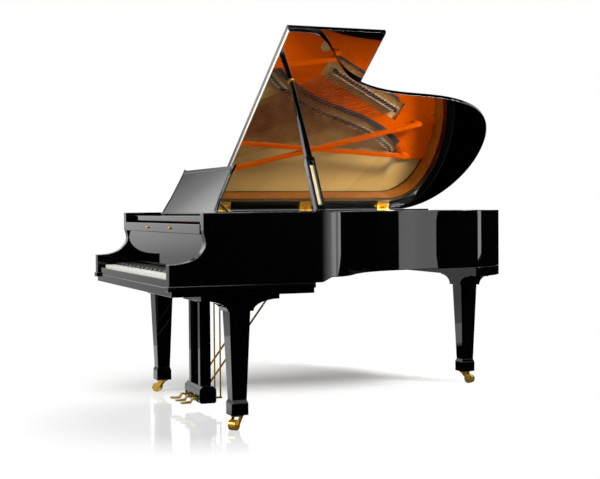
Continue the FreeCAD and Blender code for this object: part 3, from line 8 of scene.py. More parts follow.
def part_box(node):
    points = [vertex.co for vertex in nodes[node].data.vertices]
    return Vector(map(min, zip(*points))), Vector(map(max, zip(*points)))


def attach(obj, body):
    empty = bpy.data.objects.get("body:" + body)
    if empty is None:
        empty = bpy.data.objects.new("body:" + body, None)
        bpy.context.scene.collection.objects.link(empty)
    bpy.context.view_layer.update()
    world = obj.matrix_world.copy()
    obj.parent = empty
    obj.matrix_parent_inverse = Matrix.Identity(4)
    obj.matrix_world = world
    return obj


# the dictionaries hold lengths in metres, unless a name ends in Mm or Px, and angles in degrees
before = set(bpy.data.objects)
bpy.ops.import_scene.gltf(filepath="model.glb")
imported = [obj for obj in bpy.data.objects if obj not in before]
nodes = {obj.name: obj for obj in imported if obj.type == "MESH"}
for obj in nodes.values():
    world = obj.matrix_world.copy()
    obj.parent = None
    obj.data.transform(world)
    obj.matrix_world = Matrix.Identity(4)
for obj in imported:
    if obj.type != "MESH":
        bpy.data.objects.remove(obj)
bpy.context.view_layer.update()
scene = bpy.context.scene
scene.view_settings.view_transform = "Standard"
levelSlack = 1e-4    # a point this close to a level lies on it
sameDigits = 5       # points that agree to this many digits are one


def fromHex(code):
    # sRGB to linear: a straight part near black, then the 2.4 power
    parts = [int(code[i:i + 2], 16) / 255 for i in (1, 3, 5)]
    return [c / 12.92 if c <= 0.04045 else ((c + 0.055) / 1.055) ** 2.4 for c in parts] + [1.0]


def addNode(owner, kind, inputs=None, stops=(), **settings):
    # one node with its settings, its links or fixed values, and the stops of a colour ramp
    node = owner.node_tree.nodes.new(kind)
    for name, value in settings.items():
        setattr(node, name, value)
    for name, value in (inputs or {}).items():
        if isinstance(value, bpy.types.NodeSocket):
            owner.node_tree.links.new(value, node.inputs[name])
        else:
            node.inputs[name].default_value = value
    if stops:
        elements = node.color_ramp.elements
        for spare in stops[2:]:
            elements.new(0.5)
        for element, (position, colour) in zip(elements, stops):
            element.position = position
            element.color = fromHex(colour) if isinstance(colour, str) else colour
    return node


def newMaterial(name):
    material = bpy.data.materials.new(name)
    material.use_nodes = True
    material.node_tree.nodes.clear()
    return material


def finishMaterial(material, shader):
    addNode(material, "ShaderNodeOutputMaterial", {"Surface": shader.outputs[0]})
    return material


def perMetre(millimetres):
    # how often a pattern of that size repeats in a metre
    return 1000 / millimetres


def wavesPerMetre(millimetres):
    # the wave texture turns 20 radians in a unit, so its scale differs by 2 pi / 20
    return perMetre(millimetres) * math.pi / 10


def mottle(material, low, high, sizeMm, detail):
    # cloudy noise of a real size, and two tones spread over the middle of its range, where most of it lies
    place = addNode(material, "ShaderNodeTexCoord").outputs["Object"]
    noise = addNode(material, "ShaderNodeTexNoise", {
        "Vector": place, "Scale": perMetre(sizeMm), "Detail": detail}).outputs["Fac"]
    ramp = addNode(material, "ShaderNodeValToRGB", {"Fac": noise}, stops=((0.3, low), (0.7, high)))
    return noise, ramp.outputs["Color"]


# mirrorIor is above any real lacquer's, so that the lid shows the plate as bright as the photograph does
lacquer = {"deep": "#010101", "haze": "#030303", "swirlMm": 9, "detail": 3, "edgeMm": 5, "edgeSamples": 8,
           "roughness": 0.03, "ior": 1.52, "mirrorIor": 15.0}


def polishedPolyester(name, ior):
    # polyester lacquer, flatted and buffed: a deep black mirror whose softened edges catch the light
    look = lacquer
    material = newMaterial(name)
    colour = mottle(material, look["deep"], look["haze"], look["swirlMm"], look["detail"])[1]
    edge = addNode(material, "ShaderNodeBevel", {"Radius": look["edgeMm"] / 1000},
                   samples=look["edgeSamples"])
    shader = addNode(material, "ShaderNodeBsdfPrincipled", {
        "Base Color": colour, "Roughness": look["roughness"], "IOR": ior, "Normal": edge.outputs["Normal"]})
    return finishMaterial(material, shader)


brassLook = {"metallic": 0.7, "grainMm": 6, "detail": 4, "edgeMm": 0.8, "edgeSamples": 4}


def yellowBrass(name, low, high, roughness):
    # yellow brass, buffed or satin: a warm mirror with a slightly uneven tone
    look = brassLook
    material = newMaterial(name)
    colour = mottle(material, low, high, look["grainMm"], look["detail"])[1]
    edge = addNode(material, "ShaderNodeBevel", {"Radius": look["edgeMm"] / 1000},
                   samples=look["edgeSamples"])
    shader = addNode(material, "ShaderNodeBsdfPrincipled", {
        "Base Color": colour, "Metallic": look["metallic"], "Roughness": roughness,
        "Normal": edge.outputs["Normal"]})
    return finishMaterial(material, shader)


# the grain of a sand mould is finer than castMm: it is drawn coarser, to show
plateLook = {"low": "#a63a00", "high": "#cf5600", "gloss": "#ff7a20", "roughness": 0.36,
             "castMm": 5, "detail": 5, "depth": 0.00012, "relief": 0.6}


def bronzedIron():
    # sand-cast grey iron under copper-orange lacquer: cast grain and a warm gloss
    look = plateLook
    material = newMaterial("bronzedCastIron")
    grain, colour = mottle(material, look["low"], look["high"], look["castMm"], look["detail"])
    bump = addNode(material, "ShaderNodeBump", {
        "Height": grain, "Distance": look["depth"], "Strength": look["relief"]})
    shader = addNode(material, "ShaderNodeBsdfPrincipled", {
        "Base Color": colour, "Roughness": look["roughness"], "Specular Tint": fromHex(look["gloss"]),
        "Normal": bump.outputs["Normal"]})
    return finishMaterial(material, shader)


# real soundboard spruce has its grain 1 to 3 mm apart: it is drawn coarser, to show
spruceLook = {"plankMm": 105, "turn": 48, "grainMm": 5, "bend": 0.6, "detail": 2,
              "roughness": 0.4, "coat": 0.15,
              "planks": ((0.0, "#b99a57"), (0.5, "#c4a460"), (1.0, "#cfae6a")),
              "grain": ((0.35, "#e6d9c4"), (0.65, "#ffffff"))}


def varnishedSpruce():
    # quarter-sawn spruce planks, edge-glued and varnished: each plank its own tone, under straight grain
    look = spruceLook
    material = newMaterial("varnishedSpruce")
    place = addNode(material, "ShaderNodeTexCoord").outputs["Object"]
    turned = addNode(material, "ShaderNodeMapping", {
        "Vector": place, "Rotation": (0, 0, math.radians(look["turn"]))}).outputs["Vector"]
    across = addNode(material, "ShaderNodeSeparateXYZ", {"Vector": turned}).outputs["X"]
    counted = addNode(material, "ShaderNodeMath", {
        0: across, 1: perMetre(look["plankMm"])}, operation="MULTIPLY")
    plank = addNode(material, "ShaderNodeMath", {0: counted.outputs[0]}, operation="FLOOR")
    pick = addNode(material, "ShaderNodeTexWhiteNoise", {"W": plank.outputs[0]}, noise_dimensions="1D")
    lines = addNode(material, "ShaderNodeTexWave", {
        "Vector": turned, "Scale": wavesPerMetre(look["grainMm"]), "Distortion": look["bend"],
        "Detail": look["detail"]})
    plankTone = addNode(material, "ShaderNodeValToRGB", {"Fac": pick.outputs["Value"]}, stops=look["planks"])
    grainTone = addNode(material, "ShaderNodeValToRGB", {"Fac": lines.outputs["Fac"]}, stops=look["grain"])
    colour = addNode(material, "ShaderNodeMix", {
        "Factor": 1.0, "A": plankTone.outputs["Color"], "B": grainTone.outputs["Color"]},
        data_type="RGBA", blend_type="MULTIPLY")
    shader = addNode(material, "ShaderNodeBsdfPrincipled", {
        "Base Color": colour.outputs["Result"], "Roughness": look["roughness"], "Coat Weight": look["coat"]})
    return finishMaterial(material, shader)


woodLook = {"grainMm": 12, "turn": 10, "bend": 2.0, "detail": 3, "detailScale": 2,
            "depth": 0.0001, "relief": 0.3}


def sawnWood(name, low, high, roughness):
    # sawn and sanded hardwood: bands of growth bent by slow noise
    look = woodLook
    material = newMaterial(name)
    place = addNode(material, "ShaderNodeTexCoord").outputs["Object"]
    turned = addNode(material, "ShaderNodeMapping", {
        "Vector": place, "Rotation": (0, 0, math.radians(look["turn"]))})
    waves = addNode(material, "ShaderNodeTexWave", {
        "Vector": turned.outputs["Vector"], "Scale": wavesPerMetre(look["grainMm"]),
        "Distortion": look["bend"], "Detail": look["detail"], "Detail Scale": look["detailScale"]})
    bands = waves.outputs["Fac"]
    bump = addNode(material, "ShaderNodeBump", {
        "Height": bands, "Distance": look["depth"], "Strength": look["relief"]})
    colour = addNode(material, "ShaderNodeValToRGB", {"Fac": bands}, stops=((0.2, low), (0.8, high)))
    shader = addNode(material, "ShaderNodeBsdfPrincipled", {
        "Base Color": colour.outputs["Color"], "Roughness": roughness, "Normal": bump.outputs["Normal"]})
    return finishMaterial(material, shader)


wireLook = {"cloudMm": 60, "detail": 2}


def drawnWire(name, low, high, roughness):
    # drawn or wound wire: bright metal with a slow change of tone along the run
    material = newMaterial(name)
    colour = mottle(material, low, high, wireLook["cloudMm"], wireLook["detail"])[1]
    shader = addNode(material, "ShaderNodeBsdfPrincipled", {
        "Base Color": colour, "Metallic": 1.0, "Roughness": roughness})
    return finishMaterial(material, shader)


# real fibres are far finer: they are drawn as coarse as they need to show
feltLook = {"fibreMm": 2.5, "detail": 6, "depth": 0.0004, "relief": 0.7, "roughness": 0.95, "sheen": 0.3}


def pressedFelt(name, low, high):
    # pressed wool felt: a matte mat of short fibres
    look = feltLook
    material = newMaterial(name)
    fibres, colour = mottle(material, low, high, look["fibreMm"], look["detail"])
    bump = addNode(material, "ShaderNodeBump", {
        "Height": fibres, "Distance": look["depth"], "Strength": look["relief"]})
    shader = addNode(material, "ShaderNodeBsdfPrincipled", {
        "Base Color": colour, "Roughness": look["roughness"], "Sheen Weight": look["sheen"],
        "Normal": bump.outputs["Normal"]})
    return finishMaterial(material, shader)


coverLook = {"cloudMm": 30, "detail": 2, "edgeMm": 1, "edgeSamples": 4, "ior": 1.49}


def mouldedCover(name, low, high, roughness):
    # moulded key covering or rubbed graphite: a soft even gloss with a faint cloud in it
    look = coverLook
    material = newMaterial(name)
    colour = mottle(material, low, high, look["cloudMm"], look["detail"])[1]
    edge = addNode(material, "ShaderNodeBevel", {"Radius": look["edgeMm"] / 1000},
                   samples=look["edgeSamples"])
    shader = addNode(material, "ShaderNodeBsdfPrincipled", {
        "Base Color": colour, "Roughness": roughness, "IOR": look["ior"], "Normal": edge.outputs["Normal"]})
    return finishMaterial(material, shader)


veneerLook = {"flame": ((0.2, "#69340a"), (0.5, "#84470e"), (0.8, "#9c5a14")), "flameMm": 45, "detail": 4,
              "bend": 1.2, "line": "#0a0808", "lineTop": 0.852, "lineBlend": 0.002,
              "roughness": 0.3, "gloss": "#c07040"}


def linedVeneer():
    # flame mahogany veneer, lacquered: brown clouds with a warm gloss, and a black line along the foot
    look = veneerLook
    material = newMaterial("linedMahoganyVeneer")
    place = addNode(material, "ShaderNodeTexCoord").outputs["Object"]
    flame = addNode(material, "ShaderNodeTexNoise", {
        "Vector": place, "Scale": perMetre(look["flameMm"]),
        "Detail": look["detail"], "Distortion": look["bend"]})
    wood = addNode(material, "ShaderNodeValToRGB", {"Fac": flame.outputs["Fac"]}, stops=look["flame"])
    height = addNode(material, "ShaderNodeSeparateXYZ", {"Vector": place}).outputs["Z"]
    above = addNode(material, "ShaderNodeMapRange", {
        "Value": height, "From Min": look["lineTop"] - look["lineBlend"], "From Max": look["lineTop"]})
    colour = addNode(material, "ShaderNodeMix", {
        "Factor": above.outputs["Result"], "A": fromHex(look["line"]), "B": wood.outputs["Color"]},
        data_type="RGBA")
    shader = addNode(material, "ShaderNodeBsdfPrincipled", {
        "Base Color": colour.outputs["Result"], "Roughness": look["roughness"],
        "Specular Tint": fromHex(look["gloss"])})
    return finishMaterial(material, shader)


finishes = {
    "black": polishedPolyester("blackPolyester", lacquer["ior"]),
    "lidMirror": polishedPolyester("blackPolyesterMirrorBuffed", lacquer["mirrorIor"]),
    "brass": yellowBrass("polishedBrass", "#b98a20", "#e8bc4c", roughness=0.2),
    "satinBrass": yellowBrass("satinBrass", "#a8801f", "#dcb24a", roughness=0.25),
    # the half stick's brass is drawn pale: its colour holds a painted highlight of the white it would mirror
    "brassPaintedHighlight": yellowBrass("halfStickBrassPaintedHighlight", "#cdb78a", "#efe0b8", roughness=0.3),
    "plate": bronzedIron(),
    "spruce": varnishedSpruce(),
    "maple": sawnWood("sandedMaple", "#a9834f", "#c9a26a", roughness=0.55),
    "paleMaple": sawnWood("freshCutMaple", "#d9bd8c", "#ecd6ac", roughness=0.6),
    "veneer": linedVeneer(),
    "steel": drawnWire("drawnSteel", "#9a7f62", "#d2b896", roughness=0.3),
    "copper": drawnWire("copperWinding", "#9a5630", "#d0905e", roughness=0.35),
    "blackFelt": pressedFelt("blackWoolFelt", "#101011", "#222224"),
    "whiteFelt": pressedFelt("whiteWoolFelt", "#cfc9bc", "#e9e4d8"),
    "keyWhite": mouldedCover("whiteKeyCover", "#eae7df", "#f3f1ea", roughness=0.22),
    "keyBlack": mouldedCover("ebonySharp", "#0b0b0c", "#151516", roughness=0.28),
    "graphite": mouldedCover("graphitedMaple", "#0b0a0a", "#141312", roughness=0.85),
}
print("finishes made:", len(finishes))

casters = [leg + "_caster_" + part
           for leg in ("front_treble", "front_bass", "rear") for part in ("fork", "wheel")]
pedals = [pedal + "_pedal" + end for pedal in ("soft", "sostenuto", "damper") for end in ("", "_rod")]
# every node that isn't named here is black
wears = {
    "brass": ["lid_hinges_case", "lid_hinges_lid", "flap_hinge", "prop_cup", "plate_bolts", "prop_bracket"],
    "brassPaintedHighlight": ["half_stick"],
    "satinBrass": ["fallboard_knobs", "lyre_braces"] + pedals + casters,
    "plate": ["iron_plate"],
    "spruce": ["soundboard"],
    "maple": ["inner_rim", "belly_rail", "back_beams", "soundboard_ribs", "bridges", "keyframe",
              "action_rack"],
    "steel": ["treble_strings", "tuning_pins", "sostenuto_rod"],
    "copper": ["bass_strings"],
    "blackFelt": ["string_felts", "dampers"],
    "whiteFelt": ["white_hammers", "black_hammers"],
    "keyWhite": ["white_keys"],
    "keyBlack": ["black_keys"],
}
wearOf = {node: look for look, group in wears.items() for node in group}
for name, node in nodes.items():
    node.data.materials.clear()
    node.data.materials.append(finishes[wearOf.get(name, "black")])


def meshPoints(node):
    # every corner of a frame node's triangles, which are loose
    mesh = nodes[node].data
    points = np.zeros(len(mesh.vertices) * 3)
    mesh.vertices.foreach_get("co", points)
    return points.reshape(-1, 3)


def secondFinish(node, look, facing, least):
    # faces whose normals lie along a direction, by more than that cosine, get another finish
    mesh = nodes[node].data
    normals = np.zeros(len(mesh.polygons) * 3)
    mesh.polygons.foreach_get("normal", normals)
    chosen = normals.reshape(-1, 3) @ np.array(facing) > least
    mesh.materials.append(finishes[look])
    indices = np.zeros(len(mesh.polygons), dtype=np.int32)
    mesh.polygons.foreach_get("material_index", indices)
    indices[chosen] = len(mesh.materials) - 1
    mesh.polygons.foreach_set("material_index", indices)
    mesh.update()


lidAngle = math.radians(35)    # how far the lid stands open at rest
lidDown = (math.sin(lidAngle), 0, -math.cos(lidAngle))
secondFinish("main_lid", "lidMirror", lidDown, least=0.9)
secondFinish("main_lid", "lidMirror", (0, -1, 0), least=0.95)
secondFinish("lid_flap", "lidMirror", lidDown, least=0.9)
secondFinish("bridges", "graphite", (0, 0, 1), least=0.9)
print("finishes put on the frame")


def addPiece(name, points, faces, look, body):
    mesh = bpy.data.meshes.new(name)
    mesh.from_pydata(points.tolist(), [], faces)
    mesh.materials.append(finishes[look])
    mesh.update()
    piece = bpy.data.objects.new(name, mesh)
    scene.collection.objects.link(piece)
    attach(piece, body)


def alongPath(path):
    # the unit direction of a path at each of its points
    along = np.gradient(path, axis=0)
    return along / np.linalg.norm(along, axis=1)[:, None]


def sweep(name, path, across, up, profile, look, body):
    # a closed profile carried along an open path: point(i, j) = path(i) + a(j) * across(i) + b(j) * up
    grid = path[:, None] + profile[None, :, :1] * across[:, None] + profile[None, :, 1:] * np.array(up)
    rows, cols = grid.shape[:2]
    index = np.arange(rows * cols).reshape(rows, cols)
    turned = np.roll(index, -1, axis=1)
    quads = np.stack((index[:-1], index[1:], turned[1:], turned[:-1]), axis=-1).reshape(-1, 4)
    faces = quads.tolist() + [index[0].tolist(), index[-1][::-1].tolist()]
    addPiece(name, grid.reshape(-1, 3), faces, look, body)


band = {"front": -0.45, "centre": (-0.15, 0.1), "foot": 0.0003, "top": 0.962, "thick": 0.0012, "steps": 240}


def addVeneerBand():
    # the soundboard's edge, sorted by angle about a point inside it and spaced evenly along its length
    points = meshPoints("soundboard")
    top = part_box("soundboard")[1].z
    edge = np.unique(np.round(points[points[:, 2] > top - levelSlack], sameDigits), axis=0)[:, :2]
    offset = edge - np.array(band["centre"])
    edge = edge[np.argsort(np.arctan2(offset[:, 0], -offset[:, 1]) % (2 * math.pi))]
    edge[:, 1] = np.maximum(edge[:, 1], band["front"])
    run = np.concatenate(([0], np.cumsum(np.linalg.norm(np.diff(edge, axis=0), axis=1))))
    even = np.linspace(0, run[-1], band["steps"])
    path = np.stack((np.interp(even, run, edge[:, 0]), np.interp(even, run, edge[:, 1]), 0 * even), axis=1)
    along = alongPath(path)
    inward = np.stack((-along[:, 1], along[:, 0], along[:, 2]), axis=1)
    low = top + band["foot"]
    profile = np.array(((0, low), (0, band["top"]), (band["thick"], band["top"]), (band["thick"], low)))
    sweep("veneerBand", path, inward, (0, 0, 1), profile, "veneer", "case")


addVeneerBand()

# the plate's web carries the pins, and each level is a share of a pin's radius and of its height
pins = {"sides": 8, "radius": 0.0021, "height": 0.012, "foot": 0.0005, "web": 0.012,
        "levels": ((1, 0), (1, 0.8), (0.6, 0.95), (0.15, 1))}


def addHitchPins(name, ends):
    # each pin is a ring carried up to a domed end: point(i, j) = foot + width(i) * ring(j) at height(i)
    feet = ends.copy()
    feet[:, 2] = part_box("iron_plate")[0].z + pins["web"] + pins["foot"]
    turn = np.arange(pins["sides"]) * 2 * math.pi / pins["sides"]
    ring = np.stack((np.cos(turn), np.sin(turn), 0 * turn), axis=1) * pins["radius"]
    levels = np.array(pins["levels"])
    rise = np.array((0, 0, pins["height"]))
    one = (levels[:, :1, None] * ring + levels[:, 1:, None] * rise).reshape(-1, 3)
    index = np.arange(len(one)).reshape(len(levels), -1)
    turned = np.roll(index, -1, axis=1)
    quads = np.stack((index[:-1], turned[:-1], turned[1:], index[1:]), axis=-1).reshape(-1, 4)
    shift = np.arange(len(feet))[:, None] * len(one)
    faces = (quads[None] + shift[:, :, None]).reshape(-1, 4).tolist()
    faces += (index[0][::-1] + shift).tolist() + (index[-1] + shift).tolist()
    addPiece(name, (feet[:, None] + one).reshape(-1, 3), faces, "steel", "case")


# deep is a share of the bridge's width, and slack a share of the string's run over it, by which an edge may
# lie outside that run
notches = {"deep": 0.36, "reach": 0.014, "seat": 0.0003, "lift": 0.00003, "thick": 0.0002, "slack": 0.2,
           "parallel": 1e-12}


def flatCross(one, other):
    # the cross product of two directions seen from above
    return one[..., 0] * other[..., 1] - one[..., 1] * other[..., 0]


def bridgeEdges(front, back, level):
    # where each string crosses the outline of a bridge's top, which is the sides that only one top face has:
    # the crossing has front + share * line = start + inside * run
    mesh = nodes["bridges"].data
    corners = np.zeros(len(mesh.loops), dtype=np.int32)
    mesh.loops.foreach_get("vertex_index", corners)
    points, same = np.unique(np.round(meshPoints("bridges"), sameDigits), axis=0, return_inverse=True)
    faces = same.reshape(-1)[corners].reshape(-1, 3)
    faces = faces[(np.abs(points[faces][:, :, 2] - level) < levelSlack).all(axis=1)]
    sides = np.sort(np.concatenate((faces[:, :2], faces[:, 1:], faces[:, ::2])), axis=1)
    sides, uses = np.unique(sides, axis=0, return_counts=True)
    ends = points[sides[uses == 1]][:, :, :2]
    start, run = ends[:, 0], ends[:, 1] - ends[:, 0]
    line, gap = (back - front)[:, None, :2], start - front[:, None, :2]
    turn = flatCross(line, run)
    turn = np.where(np.abs(turn) < notches["parallel"], notches["parallel"], turn)
    share, inside = flatCross(gap, run) / turn, flatCross(gap, line) / turn
    low, high = -notches["slack"], 1 + notches["slack"]
    met = (inside >= 0) & (inside <= 1) & (share > low) & (share < high)
    first = np.where(met, share, high).min(axis=1)[:, None]
    last = np.where(met, share, low).max(axis=1)[:, None]
    kept = (met.sum(axis=1) > 1) & (last - first > notches["slack"])[:, 0]
    return (front + (back - front) * first)[kept], (front + (back - front) * last)[kept]


def addNotches(name, front, back, half):
    # the pale cut at both edges of a bridge under each note: a thin tooth with its base along the edge, half
    # way to the notes beside it, and its tip along the string
    level = front[0, 2] - half - notches["seat"]
    front, back = bridgeEdges(front, back, level)
    deep = (back - front) * notches["deep"]
    parts = []
    for edge, inward in ((front, deep), (back, -deep)):
        step = np.diff(edge, axis=0) / 2
        step *= np.minimum(1, notches["reach"] / np.linalg.norm(step, axis=1))[:, None]
        flat = np.stack((edge - np.concatenate((step[:1], step)), edge + inward,
                         edge + np.concatenate((step, step[-1:]))), axis=1)
        side = flatCross(flat[:, 1] - flat[:, 0], flat[:, 2] - flat[:, 0])
        parts.append(np.where(side[:, None, None] > 0, flat, flat[:, ::-1]))
    low = np.concatenate(parts)
    low[:, :, 2] = level + notches["lift"]
    points = np.concatenate((low, low + np.array((0, 0, notches["thick"]))), axis=1)
    shift = np.arange(len(low))[:, None] * points.shape[1]
    walls = np.array(((0, 1, 4, 3), (1, 2, 5, 4), (2, 0, 3, 5)))
    faces = (np.array((2, 1, 0)) + shift).tolist() + (np.array((3, 4, 5)) + shift).tolist()
    faces += (walls[None] + shift[:, :, None]).reshape(-1, 4).tolist()
    addPiece(name, points.reshape(-1, 3), faces, "paleMaple", "case")
    print(name, len(low))


# half is half a wire's thickness, and a unison the wires of one note
stringing = {"treble": {"node": "treble_strings", "wires": 204, "unison": 3, "half": 0.0006},
             "bass": {"node": "bass_strings", "wires": 32, "unison": 1, "half": 0.0014}}
stationNames = ("pin", "bar", "bridgeFront", "bridgeBack", "hitch")


def stringStations(node, count):
    # each wire's points, sorted along the case, fall into five stations, whose means give the wire's run
    wires = meshPoints(node).reshape(count, -1, 3)
    order = np.argsort(wires[:, :, 1], axis=1)
    wires = np.take_along_axis(wires, order[:, :, None], axis=1)
    means = wires.reshape(count, len(stationNames), -1, 3).mean(axis=2)
    return dict(zip(stationNames, means.swapaxes(0, 1)))


for label, group in stringing.items():
    stations = stringStations(group["node"], group["wires"])
    addHitchPins(label + "HitchPins", stations["hitch"])
    front, back = (stations[edge].reshape(-1, group["unison"], 3).mean(axis=1)
                   for edge in ("bridgeFront", "bridgeBack"))
    addNotches(label + "BridgeNotches", front, back, group["half"])

# side and ledge are places on the panel: across it and up from its hinge
desk = {"hinge": (-0.778, 1.0), "lean": 26.5, "front": 0.012, "bead": 0.0035, "sides": 10,
        "side": ((0.452, 0.012), (0.436, 0.06), (0.424, 0.085), (0.41, 0.18), (0.404, 0.236)),
        "ledge": ((-0.404, 0.24), (0.404, 0.24))}


def addDeskBeads():
    # half-round beads on the desk: up both sides and along a ledge line under the top
    lean = math.radians(desk["lean"])
    upward = np.array((0, math.sin(lean), math.cos(lean)))
    outward = np.array((0, -math.cos(lean), math.sin(lean)))
    origin = np.array((0, *desk["hinge"])) + outward * desk["front"]
    turn = np.linspace(0, math.pi, desk["sides"])
    half = np.column_stack((np.cos(turn), np.sin(turn))) * desk["bead"]
    side, ledge = np.array(desk["side"]), np.array(desk["ledge"])
    beads = {"trebleDeskBead": side, "bassDeskBead": side[::-1] * (-1, 1), "deskLedge": ledge}
    for name, flat in beads.items():
        path = origin + flat[:, :1] * np.array((1, 0, 0)) + flat[:, 1:] * upward
        across = np.cross(alongPath(path), outward)
        sweep(name, path, across, outward, half, "black", "music_desk")


addDeskBeads()
print("new pieces made")

# camera solved from points of the photograph: place, yaw to the tail side, pitch down and roll
shot = {"place": (6.07596, -2.59693, 1.02904), "yaw": 21.830, "pitch": 1.469, "roll": -0.446,
        "focalPx": 1233.56, "widthPx": 600, "sensorMm": 36}


def addCamera():
    yaw, pitch, roll = (math.radians(shot[angle]) for angle in ("yaw", "pitch", "roll"))
    forward = Vector((-math.cos(yaw) * math.cos(pitch), math.sin(yaw) * math.cos(pitch), -math.sin(pitch)))
    right = Vector((math.sin(yaw), math.cos(yaw), 0))
    up = right.cross(forward)
    across = right * math.cos(roll) + up * math.sin(roll)
    upright = up * math.cos(roll) - right * math.sin(roll)
    camera = bpy.data.objects.new("camera", bpy.data.cameras.new("camera"))
    camera.data.sensor_fit = "HORIZONTAL"
    camera.data.sensor_width = shot["sensorMm"]
    camera.data.lens = shot["sensorMm"] * shot["focalPx"] / shot["widthPx"]
    turn = Matrix((across, upright, -forward)).transposed().to_4x4()
    camera.matrix_world = Matrix.Translation(shot["place"]) @ turn
    scene.collection.objects.link(camera)
    scene.camera = camera


addCamera()

sky = {"colour": (1, 1, 1, 1), "ambient": 0.5, "seen": 1.0}


def addWorld():
    # white where it is looked at, straight or in a mirror, and dimmer as light
    world = bpy.data.worlds.new("studio")
    world.use_nodes = True
    world.node_tree.nodes.clear()
    rays = addNode(world, "ShaderNodeLightPath").outputs
    looked = addNode(world, "ShaderNodeMath", {
        0: rays["Is Camera Ray"], 1: rays["Is Glossy Ray"]}, operation="MAXIMUM")
    looked = addNode(world, "ShaderNodeMath", {
        0: looked.outputs[0], 1: rays["Is Transmission Ray"]}, operation="MAXIMUM")
    strength = addNode(world, "ShaderNodeMix", {
        "Factor": looked.outputs[0], "A": sky["ambient"], "B": sky["seen"]})
    shader = addNode(world, "ShaderNodeBackground", {
        "Color": sky["colour"], "Strength": strength.outputs[0]})
    addNode(world, "ShaderNodeOutputWorld", {"Surface": shader.outputs[0]})
    scene.world = world


addWorld()


def panel(name, centre, facing, wide, tall):
    # a flat rectangle: corners are the centre plus and minus its own right and up directions
    facing = Vector(facing).normalized()
    right = Vector((0, 0, 1)).cross(facing)
    right = right.normalized() if right.length else Vector((1, 0, 0))
    up = facing.cross(right)
    signs = ((-1, -1), (1, -1), (1, 1), (-1, 1))
    corners = [Vector(centre) + right * x * wide / 2 + up * y * tall / 2 for x, y in signs]
    mesh = bpy.data.meshes.new(name)
    mesh.from_pydata(corners, [], [(0, 1, 2, 3)])
    piece = bpy.data.objects.new(name, mesh)
    scene.collection.objects.link(piece)
    return piece


# the pairs of fade, polishFade and the three dark names say where a change begins and ends
ground = {"colour": "#fbfbfa", "wide": 28, "ovalCentre": (-1.05, 0.25), "ovalHalf": (0.7, 1.45),
          "fade": (0.35, 1.35), "polish": 0.3, "polishAt": (0.3, -0.75, 0), "polishFade": (0.5, 0.95),
          "polishRoughness": 0.06, "darkTreble": (0.1, 0.4), "darkBass": (-1.7, -1.5),
          "darkFront": (-0.75, -0.6)}


def addFloor():
    # a white floor that takes the shadow in an oval beyond the legs and clears to the background outside it,
    # with a faint polish by the front legs: mirrors see it dark on the treble side and under the case
    floor = panel("floor", (0, 0, 0), (0, 0, 1), ground["wide"], ground["wide"])
    material = newMaterial("paleStudioFloor")
    place = addNode(material, "ShaderNodeTexCoord").outputs["Object"]
    axes = addNode(material, "ShaderNodeSeparateXYZ", {"Vector": place}).outputs
    (midX, midY), (halfX, halfY) = ground["ovalCentre"], ground["ovalHalf"]
    oval = addNode(material, "ShaderNodeMapping", {
        "Vector": place, "Location": (-midX / halfX, -midY / halfY, 0), "Scale": (1 / halfX, 1 / halfY, 0)})
    outwards = addNode(material, "ShaderNodeVectorMath", {0: oval.outputs[0]}, operation="LENGTH")
    fade = addNode(material, "ShaderNodeMapRange", {
        "Value": outwards.outputs["Value"], "From Min": ground["fade"][0], "From Max": ground["fade"][1]},
        interpolation_type="SMOOTHSTEP")
    flat = addNode(material, "ShaderNodeBsdfDiffuse", {"Color": fromHex(ground["colour"])})
    clear = addNode(material, "ShaderNodeBsdfTransparent")
    faded = addNode(material, "ShaderNodeMixShader", {
        0: fade.outputs[0], 1: flat.outputs[0], 2: clear.outputs[0]})

    away = addNode(material, "ShaderNodeVectorMath", {0: place, 1: ground["polishAt"]}, operation="DISTANCE")
    polish = addNode(material, "ShaderNodeMapRange", {
        "Value": away.outputs["Value"], "To Min": ground["polish"], "To Max": 0,
        "From Min": ground["polishFade"][0], "From Max": ground["polishFade"][1]})
    gloss = addNode(material, "ShaderNodeBsdfGlossy", {
        "Color": (1, 1, 1, 1), "Roughness": ground["polishRoughness"]})
    lit = addNode(material, "ShaderNodeMixShader", {
        0: polish.outputs[0], 1: faded.outputs[0], 2: gloss.outputs[0]})

    treble, bass, front = (addNode(material, "ShaderNodeMapRange", {
        "Value": axes[axis], "From Min": ground[edge][0], "From Max": ground[edge][1]}).outputs[0]
        for edge, axis in (("darkTreble", "X"), ("darkBass", "X"), ("darkFront", "Y")))
    under = addNode(material, "ShaderNodeMath", {0: bass, 1: front}, operation="MULTIPLY")
    either = addNode(material, "ShaderNodeMath", {0: treble, 1: under.outputs[0]}, operation="MAXIMUM")
    glossy = addNode(material, "ShaderNodeLightPath").outputs["Is Glossy Ray"]
    hidden = addNode(material, "ShaderNodeMath", {0: either.outputs[0], 1: glossy}, operation="MULTIPLY")
    dark = addNode(material, "ShaderNodeBsdfDiffuse", {"Color": (0, 0, 0, 1)})
    shown = addNode(material, "ShaderNodeMixShader", {
        0: hidden.outputs[0], 1: lit.outputs[0], 2: dark.outputs[0]})
    floor.data.materials.append(finishMaterial(material, shown))


addFloor()

